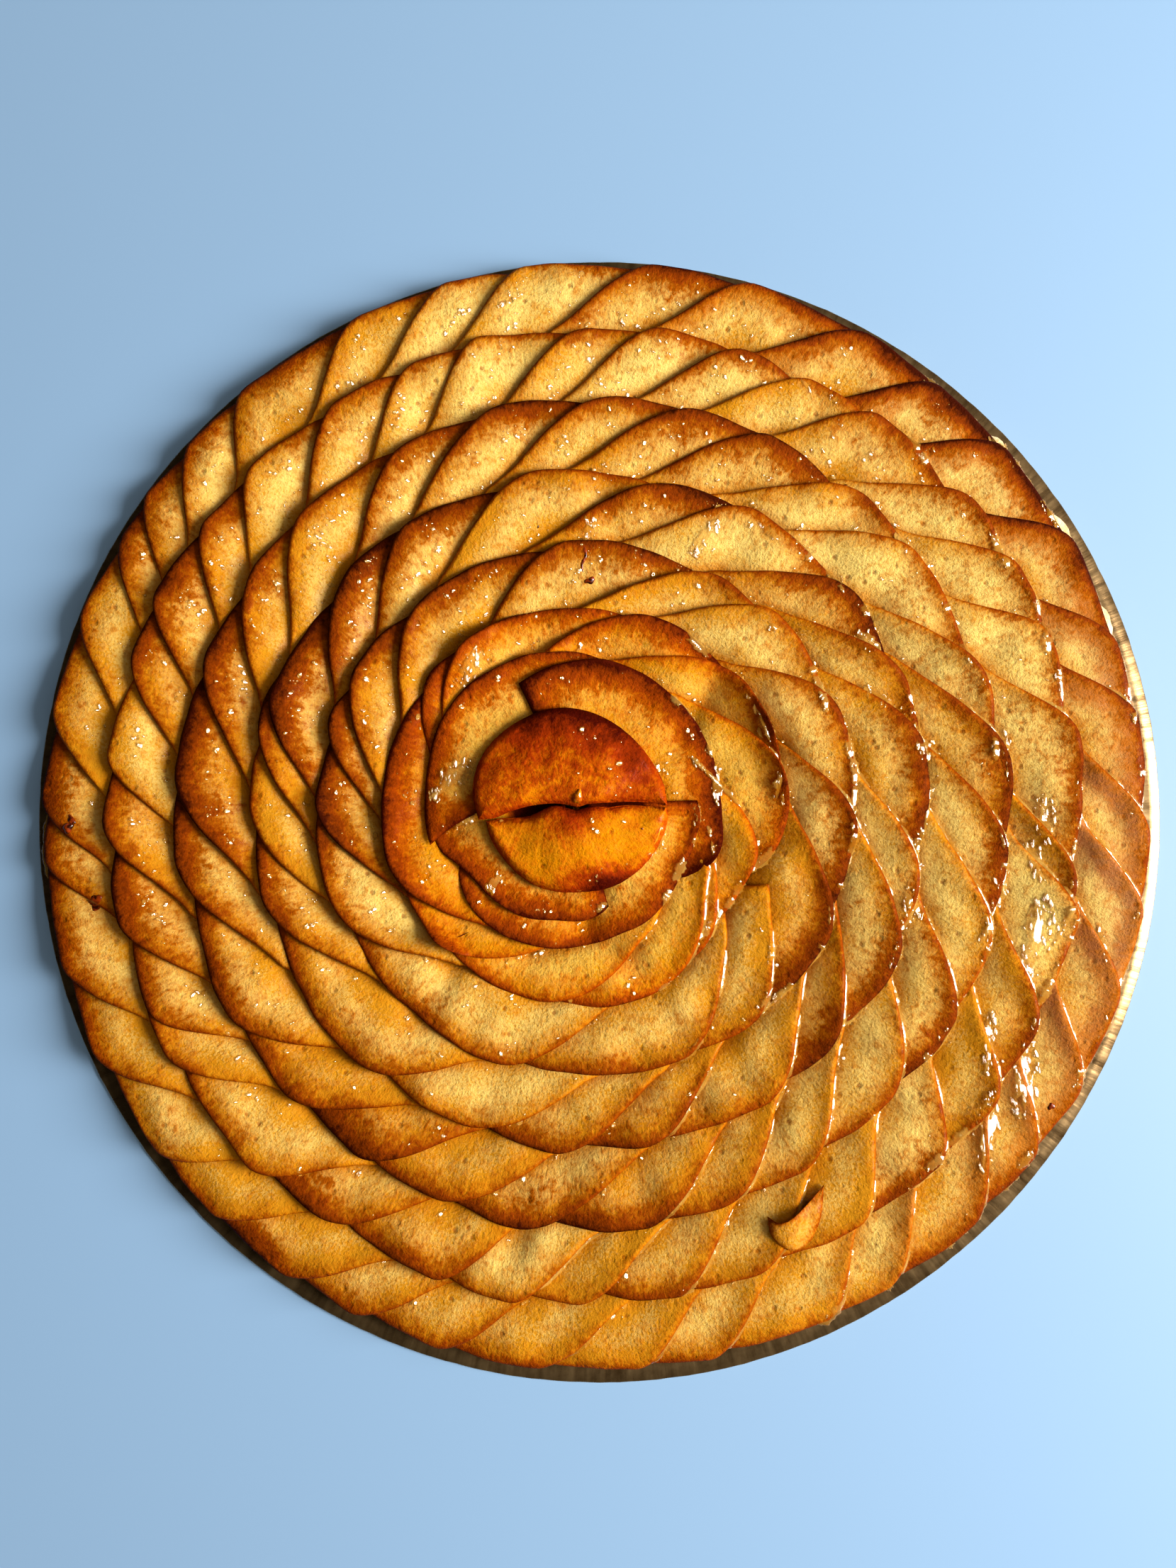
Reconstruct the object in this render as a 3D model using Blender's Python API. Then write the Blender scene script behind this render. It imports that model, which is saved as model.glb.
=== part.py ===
"""Thin apple tart on its flat pan: a round of pastry under a rosette of shingled apple slices.

Metres, +Z up, origin at the bottom centre of the pan. The slices lie in rings. Each slice rests on the
slice counter-clockwise of it, so that its own edge there stands proud, and each ring's outer edge lies
on the inner ends of the ring outside it.
"""

import math
import random

import bmesh
import bpy

MM = 0.001

# The pan and the pastry.
PAN_RADIUS = 150 * MM
PAN_THICKNESS = 1.5 * MM
PAN_EDGE = 0.3 * MM
PASTRY_RADIUS = 143.5 * MM
PASTRY_THICKNESS = 3.4 * MM
PASTRY_WAVE = 0.9 * MM  # how far the hand-cut outline strays from a circle
PASTRY_EDGE = 0.8 * MM
ROUND_SEGMENTS = 96
GAP = 0.3 * MM  # between pieces that touch

# The rosette's middle lies up and to the left of the pan's; the rings slide from one centre to the other.
TART_RADIUS = 144 * MM
TART_CENTRE = (-0.8 * MM, 1.8 * MM)
HEART_CENTRE = (-6.1 * MM, 5.3 * MM)

# Rings of slices, from the rim inwards: the radius of the outer edge, how far round each slice's raised
# edge runs on its way in, and the direction in degrees in which each raised edge meets the next ring.
RING_RADII = (144 * MM, 127.5 * MM, 108.5 * MM, 88.5 * MM, 70 * MM, 52 * MM, 37 * MM)
RING_SLANTS = (24 * MM, 25 * MM, 33 * MM, 35 * MM, 31 * MM, 32 * MM, 8 * MM)
RING_TIPS = (
    (179, 169, 159, 153, 147, 138, 126, 116, 107, 95, 84, 72, 60, 51, 40, 28, 19, 9, 0, -9, -19, -29,
     -36, -48, -57, -68, -77, -86, -97, -106, -114, -125, -134, -144, -154, -167, -173),
    (173, 164, 155, 146, 135, 123, 114, 104, 94, 85, 76, 65, 53, 43, 32, 21, 5, -2, -13, -24, -35, -46,
     -57, -69, -79, -89, -99, -111, -122, -138, -146, -155, -166, -177),
    (177, 165, 152, 136, 123, 107, 95, 81, 69, 57, 40, 27, 13, 0, -14, -26, -41, -54, -66, -80, -93,
     -108, -119, -134, -153, -166),
    (180, 160, 143, 123, 102, 82, 62, 49, 33, 11, -2, -19, -35, -58, -73, -87, -112, -139, -157, -172),
    (177, 158, 121, 92, 70, 47, 23, 3, -23, -43, -82, -129, -154, -175),
    (172, 160, 116, 83, 50, 22, -10, -26, -60, -98, -122),
    (116, 4, -75, -170),
)
JOINED_RINGS = 3  # the outer rings hold too many slices for a node each

# The two half-moons in the middle, their straight edges face to face along a slit.
MIDDLE_CENTRE = (-7.3 * MM, 3.1 * MM)
MIDDLE_RADIUS = 24 * MM  # of the pair
MIDDLE_HALVES = {1: (24.2 * MM, 25 * MM), -1: (22.7 * MM, 20.5 * MM)}  # half length and depth of each
MIDDLE_TURN = 4  # degrees that the slit is turned
MIDDLE_SLIT = (2.6 * MM, 1 * MM)  # at its left and right ends
MIDDLE_THICKNESS = 3.2 * MM
MIDDLE_COLUMNS = 12
MIDDLE_ROWS = (0, 0.3, 0.65, 1)  # shares of the way from the back edge to the slit
MIDDLE_CHORD = 0.93  # length of the straight edge as a share of the slice's
MIDDLE_SAG = 0.7 * MM
HEART_HOLLOW = 3 * MM  # radius where the innermost ring's ends stop under the middle slices

# One slice of a ring.
UNEVEN_RADIUS = 0.7 * MM
UNEVEN_HEIGHT = 0.3 * MM
SLANT_START = 0.8  # under 1, the edge leaves the rim more along it than across it
MOST_INWARD = 1.2  # the slant runs on this share of the ring's width, under the next ring
SCALLOP = 1.7 * MM  # depth of the notch between two slices at the outline
CREST = 0.25  # share of a slice's width where it reaches furthest out
STEP = 2.2 * MM  # how far the raised edge stands over the slice under it
THIN_EDGE = 1.5 * MM  # thickness left where the next slice covers it
PILLOW = 0.5 * MM
NEXT_SLICE = 0.97  # share of the spacing where the step up to the next slice starts
SLICE_GAP = 1.5 * MM  # along the ring, so that slanted edges stay GAP apart
COLUMN = 11 * MM

# How the rings rise to the middle.
FIRST_END = 2.1 * MM  # height over the pastry of the outer ring's inner ends
RING_RISE = 1.3 * MM
LIP = 5 * MM  # how far a ring's edge lies over the ring outside it
LIP_WALL = 1 * MM
UNDER_LIP = 3.5 * MM  # how far the inner ends run under the next ring
PRESSED = 2.2 * MM  # outside the next ring's edge, where its weight has pressed the steps flat

PASTRY_TOP = PAN_THICKNESS + GAP + PASTRY_THICKNESS
FLOOR = PASTRY_TOP + GAP


def material(name, colour, roughness, metallic=0.0):
    """A plain surface of one colour, given as linear red, green and blue."""
    made = bpy.data.materials.new(name)
    made.use_nodes = True
    shader = made.node_tree.nodes["Principled BSDF"]
    shader.inputs["Base Color"].default_value = (*colour, 1)
    shader.inputs["Roughness"].default_value = roughness
    shader.inputs["Metallic"].default_value = metallic
    made.diffuse_color = (*colour, 1)
    return made


def add_piece(name, shape, surface):
    """Turn a bmesh into a named object with its material."""
    bmesh.ops.recalc_face_normals(shape, faces=shape.faces)
    mesh = bpy.data.meshes.new(name)
    shape.to_mesh(mesh)
    shape.free()
    mesh.materials.append(surface)
    piece = bpy.data.objects.new(name, mesh)
    bpy.context.collection.objects.link(piece)
    return piece


def mix(a, b, share):
    return a + (b - a) * share


def tart_place(radius, angle):
    """Where a point of the rosette lies, its rings' centre sliding towards the middle's."""
    inward = 1 - radius / TART_RADIUS
    x = mix(TART_CENTRE[0], HEART_CENTRE[0], inward) + radius * math.cos(angle)
    y = mix(TART_CENTRE[1], HEART_CENTRE[1], inward) + radius * math.sin(angle)
    return x, y


def slice_angles(ring):
    """Where each slice's raised edge meets the next ring, going clockwise, the first one again at the end."""
    angles = [math.radians(tip) for tip in RING_TIPS[ring]]
    return [*angles, angles[0] - 2 * math.pi]


def next_radius(ring):
    return RING_RADII[ring + 1] if ring + 1 < len(RING_RADII) else MIDDLE_RADIUS


def end_height(ring):
    """Height of a ring's inner ends, pressed level under the next ring."""
    return PASTRY_TOP + FIRST_END + ring * RING_RISE


def slice_unevenness(ring, index):
    chance = random.Random(100 * ring + index)
    return chance.uniform(-UNEVEN_RADIUS, UNEVEN_RADIUS), chance.uniform(-UNEVEN_HEIGHT, UNEVEN_HEIGHT)


def slice_rows(ring, index, share):
    """Radius, top and underside of one slice at a share of its width, from its outer edge inwards."""
    further, higher = slice_unevenness(ring, index)
    notch = SCALLOP * ((share - CREST) / (1 - CREST)) ** 2
    outer = RING_RADII[ring] + further - notch
    rest = end_height(ring)
    under = end_height(ring - 1) + GAP if ring else FLOOR
    edge = under + THIN_EDGE + higher + STEP * (1 - share) + PILLOW * math.sin(math.pi * share)
    flat = next_radius(ring) + PRESSED
    last = next_radius(ring) - UNDER_LIP
    if ring == len(RING_RADII) - 1:
        last = HEART_HOLLOW
    radii = [outer, outer - LIP, outer - LIP - LIP_WALL, flat, last]
    undersides = [under, under, FLOOR, FLOOR, FLOOR]
    tops = [mix(edge, rest, max(0, (outer - r) / (outer - flat)) ** 1.3) for r in radii[:3]] + [rest, rest]
    if ring == 0:
        del radii[1], undersides[1], tops[1]
    return list(zip(radii, tops, undersides))


def slice_column(ring, index, angles, share):
    """One slanted line across a slice: the places of its top points, and the heights under them."""
    rows = slice_rows(ring, index, share)
    start = mix(angles[index], angles[index + 1], share)
    first, tip = RING_RADII[ring] + UNEVEN_RADIUS, next_radius(ring)
    turn = RING_SLANTS[ring] / mix(first, tip, 0.5)
    column = []
    for radius, top, underside in rows:
        inward = min(MOST_INWARD, (first - radius) / (first - tip))
        x, y = tart_place(radius, start + turn * (inward**SLANT_START - 1))
        column.append(((x, y, top), underside))
    return column


def solid_from_columns(columns, closed=False):
    """A closed solid whose top follows the columns, with upright walls down to the undersides."""
    shape = bmesh.new()
    across, along = len(columns[0]), len(columns) + closed
    underside = shape.verts.layers.float.new("underside")
    bmesh.ops.create_grid(shape, x_segments=across - 1, y_segments=along - 1, size=1)
    for number, vert in enumerate(list(shape.verts)):
        vert.co, vert[underside] = columns[number // across % len(columns)][number % across]
    if closed:
        bmesh.ops.remove_doubles(shape, verts=shape.verts, dist=0.001 * MM)
    grown = bmesh.ops.extrude_face_region(shape, geom=list(shape.faces), use_keep_orig=True)
    for vert in grown["geom"]:
        if isinstance(vert, bmesh.types.BMVert):
            vert.co.z = vert[underside]
    return shape


def slice_shares(ring, angles, index):
    """How far across a slice its slanted lines lie."""
    width = (angles[index] - angles[index + 1]) * RING_RADII[ring]
    spaces = max(2 if ring < JOINED_RINGS else 3, round(width / COLUMN))
    last = NEXT_SLICE if ring < JOINED_RINGS else 1 - SLICE_GAP / width
    return [last * n / spaces for n in range(spaces + 1)]


def joined_ring(ring):
    """A whole ring as one solid, its slices shingled by short steep steps."""
    angles = slice_angles(ring)
    columns = []
    for index in range(len(RING_TIPS[ring])):
        columns += [slice_column(ring, index, angles, s) for s in slice_shares(ring, angles, index)]
    return solid_from_columns(columns, closed=True)


def single_slice(ring, index):
    angles = slice_angles(ring)
    shares = slice_shares(ring, angles, index)
    return solid_from_columns([slice_column(ring, index, angles, s) for s in shares])


def middle_slice(side):
    """One of the two half-moons that close the rosette, side 1 above the slit and -1 below it."""
    low = end_height(len(RING_RADII) - 1) + GAP
    half_length, depth = MIDDLE_HALVES[side]
    tilt = math.radians(MIDDLE_TURN)
    columns = []
    for n in range(MIDDLE_COLUMNS + 1):
        turn = math.pi * n / MIDDLE_COLUMNS
        along, out = math.cos(turn), math.sin(turn)
        slit = mix(MIDDLE_SLIT[1], MIDDLE_SLIT[0], (1 - along) / 2) / 2
        column = []
        for share in MIDDLE_ROWS:
            x = half_length * along * mix(1, MIDDLE_CHORD, share)
            y = side * (slit + (depth - slit) * out * (1 - share))
            place_x = MIDDLE_CENTRE[0] + x * math.cos(tilt) - y * math.sin(tilt)
            place_y = MIDDLE_CENTRE[1] + x * math.sin(tilt) + y * math.cos(tilt)
            top = low + MIDDLE_THICKNESS - MIDDLE_SAG * math.sin(math.pi * share) * out
            column.append(((place_x, place_y, top), low))
        columns.append(column)
    return solid_from_columns(columns)


def round_plate(radius, low, high, edge, wave=0.0):
    """A flat disc with broken edges; a wave makes its outline wander."""
    shape = bmesh.new()
    bmesh.ops.create_circle(shape, cap_ends=True, segments=ROUND_SEGMENTS, radius=radius)
    chance = random.Random(ROUND_SEGMENTS)
    phases = [(n, chance.uniform(0, 2 * math.pi)) for n in (3, 5, 8, 13)]
    for vert in shape.verts:
        angle = math.atan2(vert.co.y, vert.co.x)
        reach = 1 + wave / radius * sum(math.sin(n * angle + phase) for n, phase in phases) / 2
        vert.co.x *= reach
        vert.co.y *= reach
        vert.co.z = low
    grown = bmesh.ops.extrude_face_region(shape, geom=list(shape.faces), use_keep_orig=True)
    top = [v for v in grown["geom"] if isinstance(v, bmesh.types.BMVert)]
    bmesh.ops.translate(shape, verts=top, vec=(0, 0, high - low))
    rims = [e for e in shape.edges if abs(e.verts[0].co.z - e.verts[1].co.z) < 0.01 * MM]
    bmesh.ops.bevel(shape, geom=rims, offset=edge, segments=1, profile=0.5, affect="EDGES", material=-1)
    return shape


for old in list(bpy.data.objects):
    bpy.data.objects.remove(old, do_unlink=True)

# The flat pan and the pastry on it.
foil = material("gold_foil", (0.30, 0.20, 0.10), 0.4, 0.9)
add_piece("pan", round_plate(PAN_RADIUS, 0, PAN_THICKNESS, PAN_EDGE), foil)

dough = material("baked_dough", (0.62, 0.40, 0.20), 0.7)
pastry_low = PAN_THICKNESS + GAP
pastry = add_piece(
    "pastry", round_plate(PASTRY_RADIUS, pastry_low, PASTRY_TOP, PASTRY_EDGE, PASTRY_WAVE), dough
)
for vert in pastry.data.vertices:
    vert.co.x += TART_CENTRE[0]
    vert.co.y += TART_CENTRE[1]

# The apple slices, browner towards the middle.
PALE_APPLE, BROWN_APPLE = (0.62, 0.33, 0.10), (0.40, 0.13, 0.03)
for ring, tips in enumerate(RING_TIPS):
    browned = ring / len(RING_TIPS)
    colour = [mix(pale, brown, browned) for pale, brown in zip(PALE_APPLE, BROWN_APPLE)]
    apple = material(f"baked_apple_{ring + 1}", colour, 0.4)
    if ring < JOINED_RINGS:
        add_piece(f"apple_ring_{ring + 1}", joined_ring(ring), apple)
        continue
    for index in range(len(tips)):
        add_piece(f"apple_slice_{ring + 1}_{index + 1:02d}", single_slice(ring, index), apple)

toasted = material("toasted_apple", BROWN_APPLE, 0.4)
add_piece("middle_slice_upper", middle_slice(1), toasted)
add_piece("middle_slice_lower", middle_slice(-1), toasted)
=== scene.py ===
# Thin apple tart on its flat gold pan: foil-faced round, pastry, and a rosette of glazed apple slices.
import math

import bmesh
import bpy
import numpy as np
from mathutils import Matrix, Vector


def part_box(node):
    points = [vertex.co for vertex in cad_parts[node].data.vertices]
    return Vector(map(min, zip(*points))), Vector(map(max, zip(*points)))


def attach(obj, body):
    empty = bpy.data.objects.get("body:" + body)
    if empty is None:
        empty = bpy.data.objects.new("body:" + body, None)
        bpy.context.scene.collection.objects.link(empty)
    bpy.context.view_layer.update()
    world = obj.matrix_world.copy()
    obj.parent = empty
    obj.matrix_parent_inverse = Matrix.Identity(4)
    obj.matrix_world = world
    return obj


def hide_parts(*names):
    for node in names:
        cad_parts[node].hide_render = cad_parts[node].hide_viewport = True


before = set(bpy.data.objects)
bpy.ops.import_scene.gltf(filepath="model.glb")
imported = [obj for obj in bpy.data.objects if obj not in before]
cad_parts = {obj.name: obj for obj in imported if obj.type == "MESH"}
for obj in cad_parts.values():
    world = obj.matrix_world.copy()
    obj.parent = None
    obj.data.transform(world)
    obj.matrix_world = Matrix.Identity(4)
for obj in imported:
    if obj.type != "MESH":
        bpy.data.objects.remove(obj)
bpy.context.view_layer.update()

# --- The pan ---------------------------------------------------------------------------------------
# A thin round of grey card faced with dull gold foil and stamped out with a straight cut edge. It lies
# loose under the pastry. Wrapping the foil round the press has left fine creases that run outwards.
MM = 0.001
PAN_LOW, PAN_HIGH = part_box("pan")
PAN_RADIUS = (PAN_HIGH.x - PAN_LOW.x) / 2
PAN_TOP = PAN_HIGH.z
PAN_CUT = 0.25 * MM  # the pressed round of the cut edge
PAN_STEPS = 360
PAN_BANDS = (0.05, 0.3, 0.6, 0.8, 0.9, 0.94, 0.96, 0.98)  # loops across the top, as shares of the radius
PAN_BUCKLE = 0.12 * MM  # how far the rim buckles downwards
PAN_FRAY = 0.12 * MM  # how far the fibres of the cut edge stand out
PAN_CREASES = 34  # how closely the foil's creases are set round the rim


def linear(code):
    """The linear colour of an sRGB hex code."""
    parts = [int(code[i : i + 2], 16) / 255 for i in (0, 2, 4)]
    return (*[c / 12.92 if c <= 0.04045 else ((c + 0.055) / 1.055) ** 2.4 for c in parts], 1)


def new_material(name):
    """A new material, with its node tree and its shader."""
    made = bpy.data.materials.new(name)
    made.use_nodes = True
    return made, made.node_tree, made.node_tree.nodes["Principled BSDF"]


def add_node(tree, kind, settings=(), links=(), stops=()):
    """A shader node. Settings name properties or inputs, links feed inputs, stops are a ramp's colours."""
    node = tree.nodes.new("ShaderNode" + kind)
    for key, value in dict(settings).items():
        if isinstance(key, str) and hasattr(node, key):
            setattr(node, key, value)
        else:
            node.inputs[key].default_value = value
    for key, source in dict(links).items():
        tree.links.new(source, node.inputs[key])
    for place, (at, code) in enumerate(stops):
        stop = node.color_ramp.elements[place] if place < 2 else node.color_ramp.elements.new(at)
        stop.position, stop.color = at, linear(code)
    return node


def per_mm(size):
    """The scale of a pattern on Object coordinates whose features are this many millimetres."""
    return 1 / (size * MM)


def finish_piece(name, shape, material, slot, *nodes):
    """Make a bmesh or mesh a named smooth piece that rides on the tart and stands for CAD nodes."""
    mesh = shape
    if isinstance(shape, bmesh.types.BMesh):
        mesh = bpy.data.meshes.new(name)
        shape.to_mesh(mesh)
        shape.free()
    mesh.materials.append(material)
    mesh.shade_smooth()
    piece = bpy.data.objects.new(name, mesh)
    bpy.context.scene.collection.objects.link(piece)
    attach(piece, "root")
    if nodes:
        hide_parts(*nodes)
    return piece


def spun(profile, steps):
    """A closed round from the side profile of one half, given from the axis out and back to the axis."""
    shape = bmesh.new()
    points = [shape.verts.new((radius, 0, height)) for radius, height in profile]
    edges = [shape.edges.new(pair) for pair in zip(points, points[1:])]
    turn = 2 * math.pi
    bmesh.ops.spin(shape, geom=points + edges, axis=(0, 0, 1), steps=steps, angle=turn, use_merge=True)
    bmesh.ops.remove_doubles(shape, verts=shape.verts[:], dist=0.001 * MM)
    bmesh.ops.recalc_face_normals(shape, faces=shape.faces[:])
    return shape


pan_side = [(0, 0), (PAN_RADIUS - PAN_CUT, 0), (PAN_RADIUS, PAN_CUT), (PAN_RADIUS, PAN_TOP - PAN_CUT)]
pan_side += [(PAN_RADIUS - PAN_CUT, PAN_TOP)]
pan_side += [(PAN_RADIUS * share, PAN_TOP) for share in reversed(PAN_BANDS)] + [(0, PAN_TOP)]
pan_shape = spun(pan_side, PAN_STEPS)
for point in pan_shape.verts:
    angle = math.atan2(point.co.y, point.co.x)
    out = math.hypot(point.co.x, point.co.y) / PAN_RADIUS
    if point.co.z > PAN_TOP / 2:
        buckle = math.sin(3 * angle + 1) + 0.6 * math.sin(7 * angle) + 0.5 * math.sin(13 * angle + 2)
        point.co.z -= PAN_BUCKLE * out**4 * (1 + 0.5 * buckle)
    fray = math.sin(97 * angle) * math.sin(41 * angle + 1) * math.sin(23 * angle)
    point.co.xy *= 1 + out**40 * PAN_FRAY * fray / PAN_RADIUS

# Dull gold foil pressed on card: a soft brassy sheen, browner where it is scuffed, and darker along its
# creases as painted shade.
gold, tree, shader = new_material("gold_foil_on_card")
spot = add_node(tree, "TexCoord").outputs["Object"]
parts = add_node(tree, "SeparateXYZ", links={0: spot}).outputs
heading = add_node(tree, "Math", {"operation": "ARCTAN2"}, {0: parts["Y"], 1: parts["X"]}).outputs[0]
heading = add_node(tree, "Math", {"operation": "MULTIPLY", 1: PAN_CREASES}, {0: heading}).outputs[0]
away = add_node(tree, "VectorMath", {"operation": "LENGTH"}, {0: spot}).outputs["Value"]
away = add_node(tree, "Math", {"operation": "MULTIPLY", 1: per_mm(40)}, {0: away}).outputs[0]
ray = add_node(tree, "CombineXYZ", links={"X": heading, "Y": away}).outputs[0]
crease = add_node(tree, "TexNoise", {"Scale": 1.6, "Detail": 4}, {"Vector": ray}).outputs["Fac"]
scuff = add_node(tree, "TexNoise", {"Scale": per_mm(9), "Detail": 7, "Roughness": 0.7}, {"Vector": spot})
# the creases darken the colour as painted shade; the scuffs are wear
tone = add_node(tree, "Mix", {"data_type": "FLOAT", 0: 0.5}, {2: crease, 3: scuff.outputs["Fac"]}).outputs[0]
ramp = add_node(tree, "ValToRGB", links={"Fac": tone}, stops=((0.34, "6a4d2b"), (0.64, "b49466")))
tree.links.new(ramp.outputs["Color"], shader.inputs["Base Color"])
settings = {"From Min": 0.35, "From Max": 0.65, "To Min": 0.22, "To Max": 0.36}
shine = add_node(tree, "MapRange", settings, {"Value": tone})
tree.links.new(shine.outputs[0], shader.inputs["Roughness"])
relief = add_node(tree, "Bump", {"Strength": 0.35, "Distance": 0.4 * MM}, {"Height": crease})
tree.links.new(relief.outputs[0], shader.inputs["Normal"])
shader.inputs["Metallic"].default_value = 0.85
finish_piece("gold_round", pan_shape, gold, "gold_foil", "pan")

# --- The pastry ------------------------------------------------------------------------------------
# A round of plain tart dough rolled thin by hand and docked. Only its uneven edge shows, where pale
# corners of dough peep out between the apple slices and the thinnest places are baked brown.
PASTRY_LOW, PASTRY_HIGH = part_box("pastry")
PASTRY_TOP = PASTRY_HIGH.z / MM  # in millimetres, as every size of the tart is from here on
PASTRY_UNDER = PASTRY_LOW.z / MM
PASTRY_RADIUS = 143.5
# The pastry's side from its underside up: how far out, and how far up as a share of its height.
PASTRY_SIDE = ((-3, 0), (-1.2, 0.12), (-0.3, 0.3), (0, 0.52), (-0.35, 0.76), (-1.4, 0.93), (-3, 1), (-8, 1))
PASTRY_STEPS = 540
PASTRY_WAVE = 0.9
PASTRY_RIM = 6  # how far in from its edge the pastry is uneven
PASTRY_LUMPS = 0.12
TURN = 6.283  # a whole turn, near enough for what is random
TART_RADIUS = 144
TART_X, TART_Y = -0.8, 1.8  # the tart lies a little off the middle of its round
# Where a corner of dough shows: the angle in degrees, its half width in degrees and how far it reaches out.
DOUGH_CORNERS = (
    (72, 2.2, 2), (57, 2.4, 2.6), (42, 3, 2.8), (31.5, 2.6, 3), (21, 2.4, 2.6), (10, 2.1, 1.8), (-9, 1.2, 1),
    (-68, 4, 2.2), (-83, 3, 1.8), (-117, 4.4, 1.8), (-131, 1.5, 1), (150, 1.8, 1),
    (163, 1.4, 0.9), (98, 1.6, 0.8),
)


def waves(x, y, size, seed, count=14):
    """Smooth seeded unevenness, about -1 to 1, whose swells are a given size."""
    dice = np.random.default_rng(seed)
    total = np.zeros(np.broadcast(x, y).shape)
    for heading, shift, share in dice.random((count, 3)):
        swing = 2 * np.pi * (0.6 + 0.8 * share) / size
        along = x * math.cos(TURN * heading) + y * math.sin(TURN * heading)
        total += np.cos(swing * along + TURN * shift)
    return total / math.sqrt(count)


def read_points(mesh):
    """The places of a mesh's points, one row each."""
    points = np.zeros(len(mesh.vertices) * 3)
    mesh.vertices.foreach_get("co", points)
    return points.reshape(-1, 3)


pastry_rise = PASTRY_TOP - PASTRY_UNDER
pastry_side = [(0, PASTRY_UNDER)]
pastry_side += [(PASTRY_RADIUS + out, PASTRY_UNDER + pastry_rise * up) for out, up in PASTRY_SIDE]
pastry_side += [(0, PASTRY_TOP)]
pastry_shape = spun(pastry_side, PASTRY_STEPS)
pastry_mesh = bpy.data.meshes.new("pastry_round")
pastry_shape.to_mesh(pastry_mesh)
pastry_shape.free()
points = read_points(pastry_mesh)
angle = np.arctan2(points[:, 1], points[:, 0])
out = np.hypot(points[:, 0], points[:, 1])
reach = PASTRY_WAVE * np.sin(3 * angle + 0.6) * 0.5
reach = reach + 0.35 * np.sin(11 * angle) + 0.25 * np.sin(37 * angle + 2)
for middle, half_width, length in DOUGH_CORNERS:
    off = (angle - math.radians(middle)) / math.radians(half_width)
    reach = np.maximum(reach, -1 + (length + 1) * np.exp(-(off**4)))
crumble = waves(points[:, 0], points[:, 1], 2.2, 31) * 0.22 + waves(points[:, 0], points[:, 1], 6, 32) * 0.2
rim = np.clip((out - PASTRY_RADIUS + PASTRY_RIM) / PASTRY_RIM, 0, 1)
points[:, :2] *= (1 + rim * (reach + crumble) / PASTRY_RADIUS)[:, None]
points[:, 0] += TART_X
points[:, 1] += TART_Y
lumps = rim * PASTRY_LUMPS * waves(points[:, 0], points[:, 1], 3, 33)
points[:, 2] += lumps * (points[:, 2] > PASTRY_UNDER + 0.5)
pastry_mesh.vertices.foreach_set("co", (points * MM).ravel())

# Baked shortcrust: floury and matt, cream where the slices shade it and toasted where it stands out.
dough, tree, shader = new_material("baked_shortcrust")
spot = add_node(tree, "TexCoord").outputs["Object"]
patch = add_node(tree, "TexNoise", {"Scale": per_mm(7), "Detail": 5}, {"Vector": spot}).outputs["Fac"]
crumb = add_node(tree, "TexNoise", {"Scale": per_mm(0.8), "Detail": 4}, {"Vector": spot}).outputs["Fac"]
tone = add_node(tree, "Mix", {"data_type": "FLOAT", 0: 0.3}, {2: patch, 3: crumb}).outputs[0]
stops = (0.36, "c98f4e"), (0.6, "f3dfb2"), (0.47, "e6c389")
ramp = add_node(tree, "ValToRGB", links={"Fac": tone}, stops=stops)
tree.links.new(ramp.outputs["Color"], shader.inputs["Base Color"])
relief = add_node(tree, "Bump", {"Strength": 0.6, "Distance": 0.3 * MM}, {"Height": crumb})
tree.links.new(relief.outputs[0], shader.inputs["Normal"])
shader.inputs["Roughness"].default_value = 0.7
finish_piece("pastry_round", pastry_mesh, dough, "baked_dough", "pastry")

# --- The rings of apple slices ---------------------------------------------------------------------
# Seven rings of thin half-moon apple slices, peeled, laid clockwise from the rim inwards, each slice
# over the one before and each ring over the one outside it, then baked and brushed with clear glaze.
HEART_X, HEART_Y = -6.1, 5.3
RING_RADII = (145.6, 127.5, 108.5, 88.5, 70, 52, 37, 24)  # each ring's outer edge, and then the middle's
RING_SLANTS = (24, 25, 33, 35, 31, 32, 8)  # how far a round edge runs from its crest to the next ring
RING_SCALLOPS = (0.9, 2.2, 2.4, 2.4, 2.2, 1.8, 0)  # how far a round edge falls in before the next slice
RING_TOASTS = (0.75, 0.95, 1.25, 1.3, 1.2, 1.1, 1)  # how brown each ring's raised edges are
RING_TIPS = (  # where each round edge meets the next ring, in degrees and clockwise
    (179, 169, 159, 153, 147, 138, 126, 116, 107, 95, 84, 72, 60, 51, 40, 28, 19, 9, 0, -9, -19, -29, -36,
     -48, -57, -68, -77, -86, -97, -106, -114, -125, -134, -144, -154, -167, -173),
    (173, 164, 155, 146, 135, 123, 114, 104, 94, 85, 76, 65, 53, 43, 32, 21, 5, -2, -13, -24, -35, -46, -57,
     -69, -79, -89, -99, -111, -122, -138, -146, -155, -166, -177),
    (177, 165, 152, 136, 123, 107, 95, 81, 69, 57, 40, 27, 13, 0, -14, -26, -41, -54, -66, -80, -93, -108,
     -119, -134, -153, -166),
    (180, 160, 143, 123, 102, 82, 62, 49, 33, 11, -2, -19, -35, -58, -73, -87, -112, -139, -157, -172),
    (177, 158, 121, 92, 70, 47, 23, 3, -23, -43, -82, -129, -154, -175),
    (172, 160, 116, 83, 50, 22, -10, -26, -60, -98, -122),
    (117, 3, -74, -166),
)
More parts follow.
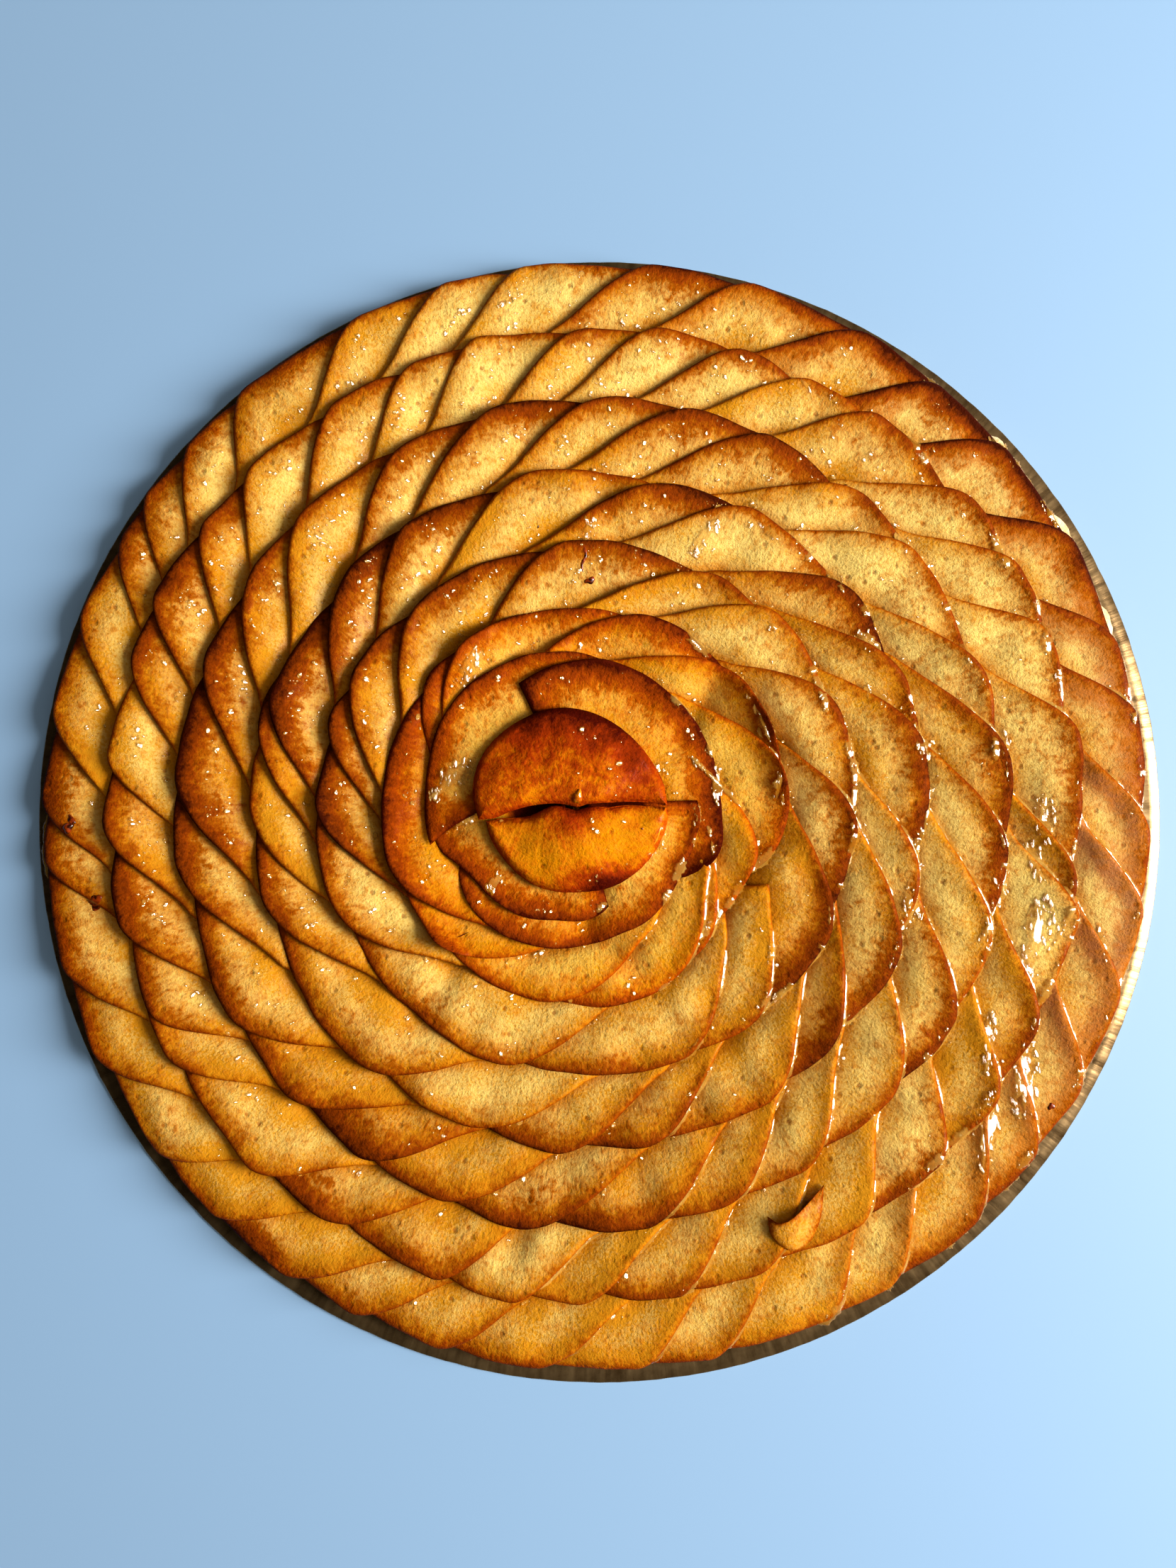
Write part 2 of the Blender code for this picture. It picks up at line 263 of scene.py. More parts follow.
# The last ring's four slices have blunt ends, so their edges are given: angle in degrees and radius.
HEART_EDGES = (
    ((117, 35.6), (107, 36.7), (87, 37.8), (65, 37.8), (45, 36.9), (26, 36.3), (2, 36.2), (-14, 37),
     (-23, 36.2), (-30, 34), (-38, 32), (-60, 29)),
    ((3, 29.8), (-8, 30.6), (-27, 31), (-42, 31.8), (-60, 33.8), (-78, 34.8), (-99, 36.6), (-114, 38.2),
     (-130, 38.8), (-147, 37), (-160, 34), (-175, 31)),
    ((-74, 26.4), (-80, 28.1), (-88, 29.6), (-100, 30), (-114, 31.3), (-136, 32.9), (-153, 34.6),
     (-163, 38), (-172, 39), (-185, 38), (-200, 36)),
    ((-166, 39.8), (-177, 40.7), (-187, 40.9), (-205, 42), (-227, 43.1), (-248, 41.8), (-259, 40.4),
     (-272, 39.2), (-286, 37), (-300, 34)),
)
HEART_TOASTS = (1.25, 0.75, 0.8, 0.75)
BLUNT_SLICE = (4, 8, 30, 0.5)  # one more blunt end: ring, place in it, turn from its crest, slant of the cut
BLUNT_TOAST = 0.45
SHORT_SLICES = {(5, 5): 46.5, (5, 6): 48}  # two slices of the next ring are smaller and show it: their radii
DEEP_SCALLOP = {(5, 4): 8}  # and one slice whose round edge falls in this far before the next
HEART_SLANTED_CUT = 0.7  # degrees clockwise for each millimetre inwards, on the last slice's cut end
RING_GRIDS = ((24, 48), (24, 48), (28, 56), (30, 64), (34, 72), (40, 84), (56, 150))  # cells in and along
CLOSE_IN, CLOSE_ALONG = 1.7, 1.2  # how much closer the cells are by the round edge and by a blunt end
CELL = 0.5  # one square of the map of heights that the slices are laid on
MAP_HALF = 156
UNDER_RING = 8  # how far a slice runs on under the next ring
HIDDEN = 15  # and under the next slice of its own ring
BEND = 0.25  # how gently a round edge turns at its crest
CURVED = 0.6  # how much of an edge's fall to the next ring is S-shaped
EDGE_RIPPLE, EDGE_NICK = 0.25, 0.08  # the long and the short unevenness of a round edge
SLICE_THICK = (3, 3.7, 4, 4.2, 4.1, 3.1, 3.6)  # for each ring
EDGE_ROUND = 1.3  # how far in an edge is rounded
CORNER = 1.5  # how sharp the corner of a blunt end is
CROWN_ROUND = 9  # how far in a slice swells to its full height
LIFT_REACH = 4  # how far in the lifted edge reaches
LIFT_HEART = 0.5  # the share of it in the two rings at the heart, whose edges lie flatter
LIFTED_FROM, LIFTED_MORE = 0.3, 1.3
EDGE_SHARE = (0.1, 0.36, 0.54)  # how much of the thickness is at the edge, just in from it, and at the crown
PLUMP = (0.7, -0.005)  # how plump the slices are at the middle, and the change for each millimetre east
SWELL = 0.26  # the height of the broad swells of the flesh
PUCKER = 0.05  # and of its small ones
SWELL_WIDE, PUCKER_WIDE = 14, 4
CORE_THIN = 0.3  # how thick a slice still is where its core was cut out
TAIL_FROM, TAIL_THIN = 0.3, 0.92  # where a slice starts to thin out under the next one, and by how much
RING_RISE = 0.85  # how much higher each ring lies than the one outside it
STIFF = 3  # how far a slice bridges the steps under it
DRAPE_SHARP = 1.4  # how closely it follows the highest places under it
DRAPE_MARGIN = 8
OWN_RING, IN_HEART = 3, 1  # how many slices of its own ring a slice lies on
EDGE_STRAY = 9  # how far past its radius a blunt slice's edge may reach
HEART_TURN = 0.2  # a heart slice lies clockwise of its crest, all but this far
PHANTOMS = 4  # how many of a ring's last slices are laid before its first, so that the ring closes
SINK_SPREAD, HEART_SPREAD = 6.5, 4.2  # how locally the heap evens out as it sinks, at the rim and the heart
HEART_RADIUS, HEART_FADE = 80, 20  # where the heart starts, and over how far
PIT_DEEP = 2.2  # the most that a gap between heaped slices may fall below the slices round it
PIT_INNER, PIT_OUTER = 20, 125  # where such gaps are filled
PIT_FILL, PIT_SPREAD = 1.3, 1.1
SLICE_REST, SLICE_SUNK = 0.2, 0.3  # how far over the pastry a slice stays, and how far its underside sinks in
LEVEL_SPREAD = 2.2  # how far round a place counts as the slices round it
SAG, SAG_FROM, SAG_WIDE = 3, 137, 5  # the most that slices sag past the pastry, from where, over how far
TOAST_REACH = 5.8  # how far in from an edge the toasted band may reach
DOME_HIGH = (15.5, 8.9)  # the mean height of the slices at the middle and at the rim
DARK_RIM = (44, 30)  # where the outer ring has caught, in degrees, and how far it fades to each side
SHORT_RIM = 1.9  # how far the outer ring stops short there, so that the pastry shows
FADE_LEAST, FADE_MORE = 1.8, 3.6  # how far in an edge's toasting fades, and how much further as it browns
BAND, HALO = 0.45, 0.4  # the shares of the toasted band and of the wider, fainter one round it
LIP, LIP_TOAST = 0.8, 0.25  # how far in the thin lip of an edge reaches, and how much browner it is
CAUGHT, CAUGHT_REACH = 0.7, 6  # how much browner the outer ring is where it has caught, and how far in
# How dark the heart slices are painted where they go under the middle two, as painted shade in the slit
# between them, from where, and over how far.
SLIT_SHADE_DARK, SLIT_SHADE_FROM, SLIT_SHADE_FADE = 1.2, 20, 4
AMBER_LINE = 1.2  # how far in the amber line along the lower end of a round edge reaches; it is partly the thin edge's own colour and partly painted glow of light through it
HOLLOW_SHADE_DEEP = 1.6  # how deep a hollow is where its juice stain and painted shade are darkest
FLUSH_ANGLE, FLUSH_REACH = 12, 8  # where the outer slices keep a flush of red, and how far in it fades
FLUSH_SHARE = 1.3
FLUSH = "9e5636"  # the red that the flesh took from the skin
FIBRE_SCALE = (0.9, 0.3, 1)  # the flesh's fibres are fine along a slice and long across it
GRAIN_STEP = 7.3  # how far apart in the grain's pattern two slices are
# What breaks up the toasting, and by how much.
BROWNING = (("blotch", 0.65), ("vein", 0.45), ("fibre", 0.35), ("felt", 0.35), ("speckle", 0.2))
CROWN_HIGHLIGHT, CROWN_HIGHLIGHT_WIDE = 1.1, 5  # how much paler a slice is painted along its crown, as a painted highlight, and how wide that is
PALE_AND_LIT_SIDE, PALE_AND_LIT_TO = 0.5, 50  # how much paler the slices are towards one side, partly as they baked less there and partly as painted light from the window, and the angle of that side

steps = np.arange(-MAP_HALF, MAP_HALF + CELL, CELL)
map_x, map_y = np.meshgrid(steps, steps, indexing="ij")


def tart_place(radius, angle):
    """Where a radius and an angle are. The rings' centres move from the tart's middle to its heart."""
    inward = 1 - radius / TART_RADIUS
    x = TART_X + (HEART_X - TART_X) * inward + radius * np.cos(angle)
    y = TART_Y + (HEART_Y - TART_Y) * inward + radius * np.sin(angle)
    return x, y


def tart_turn(x, y):
    """The radius and the angle of a place, found by closing in on its ring's centre."""
    radius = np.hypot(x - TART_X, y - TART_Y)
    for _ in range(6):
        inward = 1 - radius / TART_RADIUS
        east = x - TART_X - (HEART_X - TART_X) * inward
        north = y - TART_Y - (HEART_Y - TART_Y) * inward
        radius = np.hypot(east, north)
    return radius, np.arctan2(north, east)


def through(points, share):
    """A smooth curve through points, at shares of the way along them."""
    points = np.asarray(points, float)
    ends = np.concatenate([2 * points[:1] - points[1:2], points, 2 * points[-1:] - points[-2:-1]])
    along = np.clip(share, 0, 1) * (len(points) - 1)
    first = np.minimum(along.astype(int), len(points) - 2)
    t = (along - first)[..., None]
    a, b, c, d = (ends[first + k] for k in range(4))
    return 0.5 * (2 * b + (c - a) * t + (2 * a - 5 * b + 4 * c - d) * t**2 + (3 * b - a - 3 * c + d) * t**3)


def edge_radius(cut, turn):
    """How far out a slice's round edge is, at a turn from its crest that is positive anticlockwise."""
    length = turn * cut["radius"]
    ripple = EDGE_RIPPLE * np.sin(length / 5 + cut["seed"])
    ripple = ripple + EDGE_NICK * np.sin(length / 2 + 2 * cut["seed"])
    if "edge" in cut:
        return np.interp(-turn, cut["edge"][0], cut["edge"][1]) + ripple
    ahead = np.maximum(turn, 0) / cut["span"]
    behind = np.maximum(-turn, 0) / cut["pitch"]
    straight = (np.hypot(ahead, BEND) - BEND) / (math.hypot(1, BEND) - BEND)
    curved = np.where(ahead < 1, ahead**2 * (3 - 2 * ahead), ahead)
    fall = cut["width"] * (straight + CURVED * (curved - straight))
    return cut["radius"] - fall - cut["scallop"] * behind**2 + ripple


def edge_distance(cut, turn, radius):
    """How far in from its round edge, or its cut end, a place on a slice is."""
    nudge = 0.5 / cut["radius"]
    slope = (edge_radius(cut, turn + nudge) - edge_radius(cut, turn - nudge)) / (2 * nudge * cut["radius"])
    depth = edge_radius(cut, turn) - radius
    distance = depth / np.sqrt(1 + slope**2)
    if cut["blunt"]:
        end = (cut["ahead"] - cut["slanted"] * depth - turn) * radius
        nearest = sum(np.exp(-CORNER * np.clip(far, -20, 40)) for far in (distance, end))
        distance = -np.log(nearest) / CORNER
    return distance


def slice_rise(cut, turn, distance, x, y):
    """How far a slice's top is above what it lies on: its thickness, swells, dimples and lifted edge."""
    step = np.sqrt(1 - (1 - np.clip(distance / EDGE_ROUND, 0, 1)) ** 2)
    crown = np.sin(np.pi / 2 * np.clip(distance / CROWN_ROUND, 0, 1))
    plump = np.clip(PLUMP[0] + PLUMP[1] * x, 0.15, 1)
    rounded = EDGE_SHARE[0] + EDGE_SHARE[1] * step + EDGE_SHARE[2] * plump * crown
    inward = np.clip(distance / (cut["width"] + UNDER_RING), 0, 1)
    tail = TAIL_FROM * cut["pitch"]
    behind = np.clip((-turn - tail) / (cut["end"] - tail), 0, 1)
    thick = cut["thick"] * rounded * (1 - (1 - CORE_THIN) * inward**1.3) * (1 - TAIL_THIN * behind)
    lift = cut["lift"] * np.exp(-((distance / LIFT_REACH) ** 2)) * np.clip(1 + turn / cut["pitch"], 0, 1)
    swell = SWELL * waves(x, y, SWELL_WIDE, cut["number"])
    swell = swell + PUCKER * waves(x, y, PUCKER_WIDE, cut["number"] + 1000)
    return thick, lift, swell * np.clip(distance / 2, 0.2, 1)


def softened(values, spread):
    """The map of heights, or a window of it, blurred over a few millimetres."""
    reach = [np.fft.fftfreq(size) for size in values.shape]
    soft = np.exp(-2 * (np.pi * spread / CELL) ** 2 * (reach[0][:, None] ** 2 + reach[1][None, :] ** 2))
    return np.real(np.fft.ifft2(np.fft.fft2(values) * soft))


def drape(heights, inside, stiff=STIFF):
    """The heights a limp slice takes when it lies on these, within its own outline."""
    covered = np.flatnonzero(inside.any(1)), np.flatnonzero(inside.any(0))
    window = tuple(slice(max(line[0] - DRAPE_MARGIN, 0), line[-1] + DRAPE_MARGIN) for line in covered)
    here, weight = heights[window], inside[window].astype(float)
    top = here[inside[window]].max()
    lift = softened(np.exp(DRAPE_SHARP * (here - top)) * weight, stiff)
    lift = lift / np.maximum(softened(weight, stiff), 1e-3)
    result = heights.copy()
    result[window] = top + np.log(np.maximum(lift, 1e-9)) / DRAPE_SHARP
    return result


def sample(values, x, y):
    """Values of the map at any places, between its squares."""
    across = np.clip((x + MAP_HALF) / CELL, 0, len(steps) - 1.001)
    up = np.clip((y + MAP_HALF) / CELL, 0, len(steps) - 1.001)
    i, j = across.astype(int), up.astype(int)
    a, b = across - i, up - j
    low = values[i, j] * (1 - a) + values[i + 1, j] * a
    high = values[i, j + 1] * (1 - a) + values[i + 1, j + 1] * a
    return low * (1 - b) + high * b


def slab_template(inward, along):
    """A closed slab whose points say how far in, how far along and which side they are."""
    shape = bmesh.new()
    bmesh.ops.create_grid(shape, x_segments=inward, y_segments=along, size=0.5)
    lower = bmesh.ops.extrude_face_region(shape, geom=shape.faces[:], use_keep_orig=True)["geom"]
    lower = [item for item in lower if isinstance(item, bmesh.types.BMVert)]
    bmesh.ops.translate(shape, verts=lower, vec=(0, 0, -1))
    bmesh.ops.translate(shape, verts=shape.verts[:], vec=(0.5, 0.5, 0))
    bmesh.ops.recalc_face_normals(shape, faces=shape.faces[:])
    mesh = bpy.data.meshes.new("slab")
    shape.to_mesh(mesh)
    shape.free()
    return mesh


def repeated(name, template, times):
    """One mesh of many copies of a template."""
    shape = bmesh.new()
    for _ in range(times):
        shape.from_mesh(template)
    mesh = bpy.data.meshes.new(name)
    shape.to_mesh(mesh)
    shape.free()
    return mesh


def write_points(mesh, points, **marks):
    """Move a mesh's points and give them named marks for the material."""
    mesh.vertices.foreach_set("co", (np.concatenate(points) * MM).ravel())
    for mark, values in marks.items():
        values = np.concatenate(values)
        kind, field = ("FLOAT", "value") if values.ndim == 1 else ("FLOAT_VECTOR", "vector")
        mesh.attributes.new(mark, kind, "POINT").data.foreach_set(field, values.ravel())
    mesh.update()


map_radius, map_angle = tart_turn(map_x, map_y)
ring_numbers = np.arange(len(RING_RADII))
heights = PASTRY_TOP + RING_RISE * np.interp(map_radius, RING_RADII[::-1], ring_numbers[::-1])
edge_drop = np.clip((map_radius - PASTRY_RADIUS) / 1.5, 0, 1)
heights = heights - edge_drop * (PASTRY_TOP - PAN_TOP / MM)

dice = np.random.default_rng(7)
ring_cuts = []
for number, tips in enumerate(RING_TIPS):
    outer, inner = RING_RADII[number], RING_RADII[number + 1]
    cuts = []
    for index, tip in enumerate(tips):
        next_tip = tips[(index + 1) % len(tips)]
        pitch = math.radians((tip - next_tip) % 360)
        uneven, thick, lift, tint, toast, phase = dice.random(6)
        span = RING_SLANTS[number] / ((outer + inner) / 2) * (0.85 + 0.3 * lift)
        cut = {
            "crest": math.radians(tip) - span,
            "span": span,
            "pitch": pitch,
            "end": pitch + HIDDEN / outer,
            "width": outer - inner,
            "radius": outer + (2 if number else 0.6) * (uneven - 0.5),
            "inner": inner - UNDER_RING,
            "scallop": RING_SCALLOPS[number] * (0.6 + 0.8 * thick),
            "thick": SLICE_THICK[number] * (0.85 + 0.3 * thick),
            "lift": (LIFTED_FROM + LIFTED_MORE * lift) * (1 if number < 5 else LIFT_HEART),
            "tint": tint,
            "toast": RING_TOASTS[number] * (0.15 + 0.85 * toast),
            "seed": TURN * phase,
            "number": number * 50 + index,
            "blunt": False,
            "slanted": 0,
        }
        over = (cut["width"] + UNDER_RING) / cut["width"] * (math.hypot(1, BEND) - BEND) + BEND
        cut["ahead"] = span * math.sqrt(over**2 - BEND**2)
        if number == len(RING_TIPS) - 1:
            edge = through(HEART_EDGES[index], np.linspace(0, 1, 200))
            cut["crest"] = math.radians(tip)
            cut["edge"] = (np.radians(edge[0, 0] - edge[:, 0]), edge[:, 1])
            cut["ahead"], cut["end"] = 0.0, cut["edge"][0][-1]
            cut["blunt"], cut["slanted"] = True, math.radians(HEART_SLANTED_CUT) if index == 3 else 0
            cut["inner"] = 3
            cut["toast"] = HEART_TOASTS[index]
        if (number, index) == BLUNT_SLICE[:2]:
            cut["blunt"], cut["toast"] = True, BLUNT_TOAST
            cut["ahead"], cut["slanted"] = (math.radians(value) for value in BLUNT_SLICE[2:])
            cut["inner"] = inner - 2 * UNDER_RING
        if number == 0:
            cut["radius"] -= SHORT_RIM * math.exp(-(((tip - DARK_RIM[0]) / DARK_RIM[1]) ** 2))
        cut["radius"] = SHORT_SLICES.get((number, index), cut["radius"])
        cut["scallop"] = DEEP_SCALLOP.get((number, index), cut["scallop"])
        cuts.append(cut)
    ring_cuts.append(cuts)

ring_supports = []
for cuts in ring_cuts:
    laid = []
    supports = []
    whole = heights.copy()
    for index in range(-PHANTOMS, len(cuts)):
        cut = cuts[index]
        turn = (map_angle - cut["crest"] + np.pi) % (2 * np.pi) - np.pi
        if "edge" in cut:
            turn = turn - 2 * np.pi * (turn > HEART_TURN)
        close = (map_radius > cut["inner"]) & (map_radius < cut["radius"] + EDGE_STRAY)
        close &= (turn > -cut["end"]) & (turn < cut["ahead"])
        distance = edge_distance(cut, turn[close], map_radius[close])
        inside = close.copy()
        inside[close] = distance > 0
        under = heights
        for earlier in laid[-(IN_HEART if "edge" in cut else OWN_RING) :]:
            under = np.maximum(under, earlier)
        support = drape(under, inside)
        places = map_x[inside], map_y[inside]
        thick, lift, swell = slice_rise(cut, turn[inside], distance[distance > 0], *places)
        top = np.zeros(heights.shape)
        top[inside] = support[inside] + thick + lift + swell
        laid.append(top)
        if index >= 0:
            supports.append(support)
            whole = np.maximum(whole, top)
    ring_supports.append(supports)
    heights = whole


def rim_sag(radius):
    """How far slices sag where they pass the pastry's edge."""
    return SAG * np.clip((radius - SAG_FROM) / SAG_WIDE, 0, 1)


# The slices soften as they bake and the heap sinks to a low dome, which keeps only their relief. The
# heart sinks more evenly than the rings round it, and juice and pulp half fill the deepest gaps.
filled = (map_radius < PASTRY_RADIUS).astype(float)
heap = softened(heights * filled, SINK_SPREAD) / np.maximum(softened(filled, SINK_SPREAD), 0.05)
at_heart = np.clip((HEART_RADIUS - map_radius) / HEART_FADE, 0, 1)
heap += at_heart * (softened(heights, HEART_SPREAD) - heap)
sink = heap - np.interp(map_radius, (0, TART_RADIUS), DOME_HIGH)
lowest = np.where(filled > 0, PASTRY_TOP + SLICE_REST, 0) - rim_sag(map_radius)
heights = np.maximum(heights - sink, lowest)
ring_supports = [[support - sink for support in supports] for supports in ring_supports]
pits = np.maximum(softened(heights, LEVEL_SPREAD) - heights - PIT_DEEP, 0)
pits = PIT_FILL * softened(pits * (map_radius > PIT_INNER) * (map_radius < PIT_OUTER), PIT_SPREAD)
heights = heights + pits
ring_supports = [[support + pits for support in supports] for supports in ring_supports]
around = softened(heights, LEVEL_SPREAD)


def lay_ring(name, number, material, slot, *nodes):
    """Mesh every slice of a ring on the heights it lies on."""
    cuts, supports = ring_cuts[number], ring_supports[number]
    template = slab_template(*RING_GRIDS[number])
    marks = read_points(template)
    share_in, share_along = marks[:, 0].clip(0, 1) ** CLOSE_IN, marks[:, 1].clip(0, 1)
    upper = marks[:, 2] > -0.5
    mesh = repeated(name, template, len(cuts))
    places, grains, toasts_and_painted_shade, tints_and_painted_light, rim_lines_and_glow, hollow_juice_and_shades, blushes = [], [], [], [], [], [], []
    for cut, support in zip(cuts, supports):
        first, last = cut["ahead"], -cut["end"]
        turn = first + (last - first) * (share_along**CLOSE_ALONG if cut["blunt"] else share_along)
        reach = np.maximum(edge_radius(cut, turn) - cut["inner"], 0.6)
        depth = reach * share_in
        turn = turn - cut["slanted"] * depth * (1 - share_along)
        radius = edge_radius(cut, turn) - depth
        distance = np.maximum(edge_distance(cut, turn, radius), 0)
        x, y = tart_place(radius, cut["crest"] + turn)
        base = sample(support, x, y)
        thick, lift, swell = slice_rise(cut, turn, distance, x, y)
        under_edge = 0.3 * thick * np.exp(-distance / LIP)
        z = base + np.where(upper, thick + lift + swell, lift + under_edge - 0.15)
        lowest = np.where(upper, PASTRY_TOP + SLICE_REST, PASTRY_TOP - SLICE_SUNK) - rim_sag(radius)
        z = np.maximum(z, lowest)  # the slices rest on the pastry
        places.append(np.stack([x, y, z], 1))
        length = turn * cut["radius"]
        grains.append(np.stack([length, distance, np.full_like(length, cut["number"] * GRAIN_STEP)], 1))

        # The raised edge is toasted in a band that fades inwards, widest on the crest. Towards the west the
        # band is painted wider and darker still, as painted shade on the side away from the window.
        crest = np.clip(1 - np.maximum(turn, 0) / cut["span"] + ("edge" in cut), 0, 1)
        fade = (FADE_LEAST + FADE_MORE * cut["toast"]) * (0.4 + 0.6 * crest) * (1 - 0.002 * x)
        fade = np.minimum(fade, TOAST_REACH)
        browning_and_shade = BAND * np.exp(-((distance / fade) ** 1.3)) + HALO * np.exp(-distance / (2.2 * fade))
        # darker towards the west: painted shade
        browning_and_shade = browning_and_shade * (0.3 + 0.7 * crest) * (0.5 + 0.65 * cut["toast"]) * (0.9 - 0.0014 * x)
        browning_and_shade = browning_and_shade + LIP_TOAST * np.exp(-distance / LIP)
        if number == 0:
            off = (np.degrees(cut["crest"] + turn) - DARK_RIM[0] + 180) % 360 - 180
            browning_and_shade = browning_and_shade + CAUGHT * np.exp(-((off / DARK_RIM[1]) ** 2) - distance / CAUGHT_REACH)
        # painted shade where the heart slices show in the slit under the middle two
        slit_shade = SLIT_SHADE_DARK * np.clip((SLIT_SHADE_FROM - radius) / SLIT_SHADE_FADE, 0, 1)
        toasts_and_painted_shade.append(np.maximum(browning_and_shade, slit_shade) if "edge" in cut else browning_and_shade)
        # the amber line: the thin edge's colour, partly painted as the glow of light through it
        rim_lines_and_glow.append(np.exp(-distance / AMBER_LINE) * (1 - crest))
        # paler towards the north-east: partly less baked, partly painted light from the window
        facing = np.cos(cut["crest"] + turn - math.radians(PALE_AND_LIT_TO))
        pale = PALE_AND_LIT_SIDE * facing * radius / TART_RADIUS - CROWN_HIGHLIGHT / 2
        pale = cut["tint"] + pale
        # paler along the crown: a painted highlight
        tints_and_painted_light.append(pale + CROWN_HIGHLIGHT * np.exp(-(((distance - CROWN_ROUND) / CROWN_HIGHLIGHT_WIDE) ** 2)))
        # hollows darkened towards golden: the juice that gathers there, and painted shade
        hollow_juice_and_shades.append(np.clip((sample(around, x, y) - z) / HOLLOW_SHADE_DEEP, 0, 1))
        facing = np.clip(np.cos(cut["crest"] + turn - math.radians(FLUSH_ANGLE)), 0, 1)
        blushes.append((FLUSH_SHARE if number == 0 else 0) * facing * np.exp(-distance / FLUSH_REACH))
    shades = {"tint": tints_and_painted_light, "rim": rim_lines_and_glow, "hollow_juice_and_shade": hollow_juice_and_shades, "blush": blushes}
    write_points(mesh, places, grain=grains, toast=toasts_and_painted_shade, **shades)
    return finish_piece(name, mesh, material, slot, *nodes)


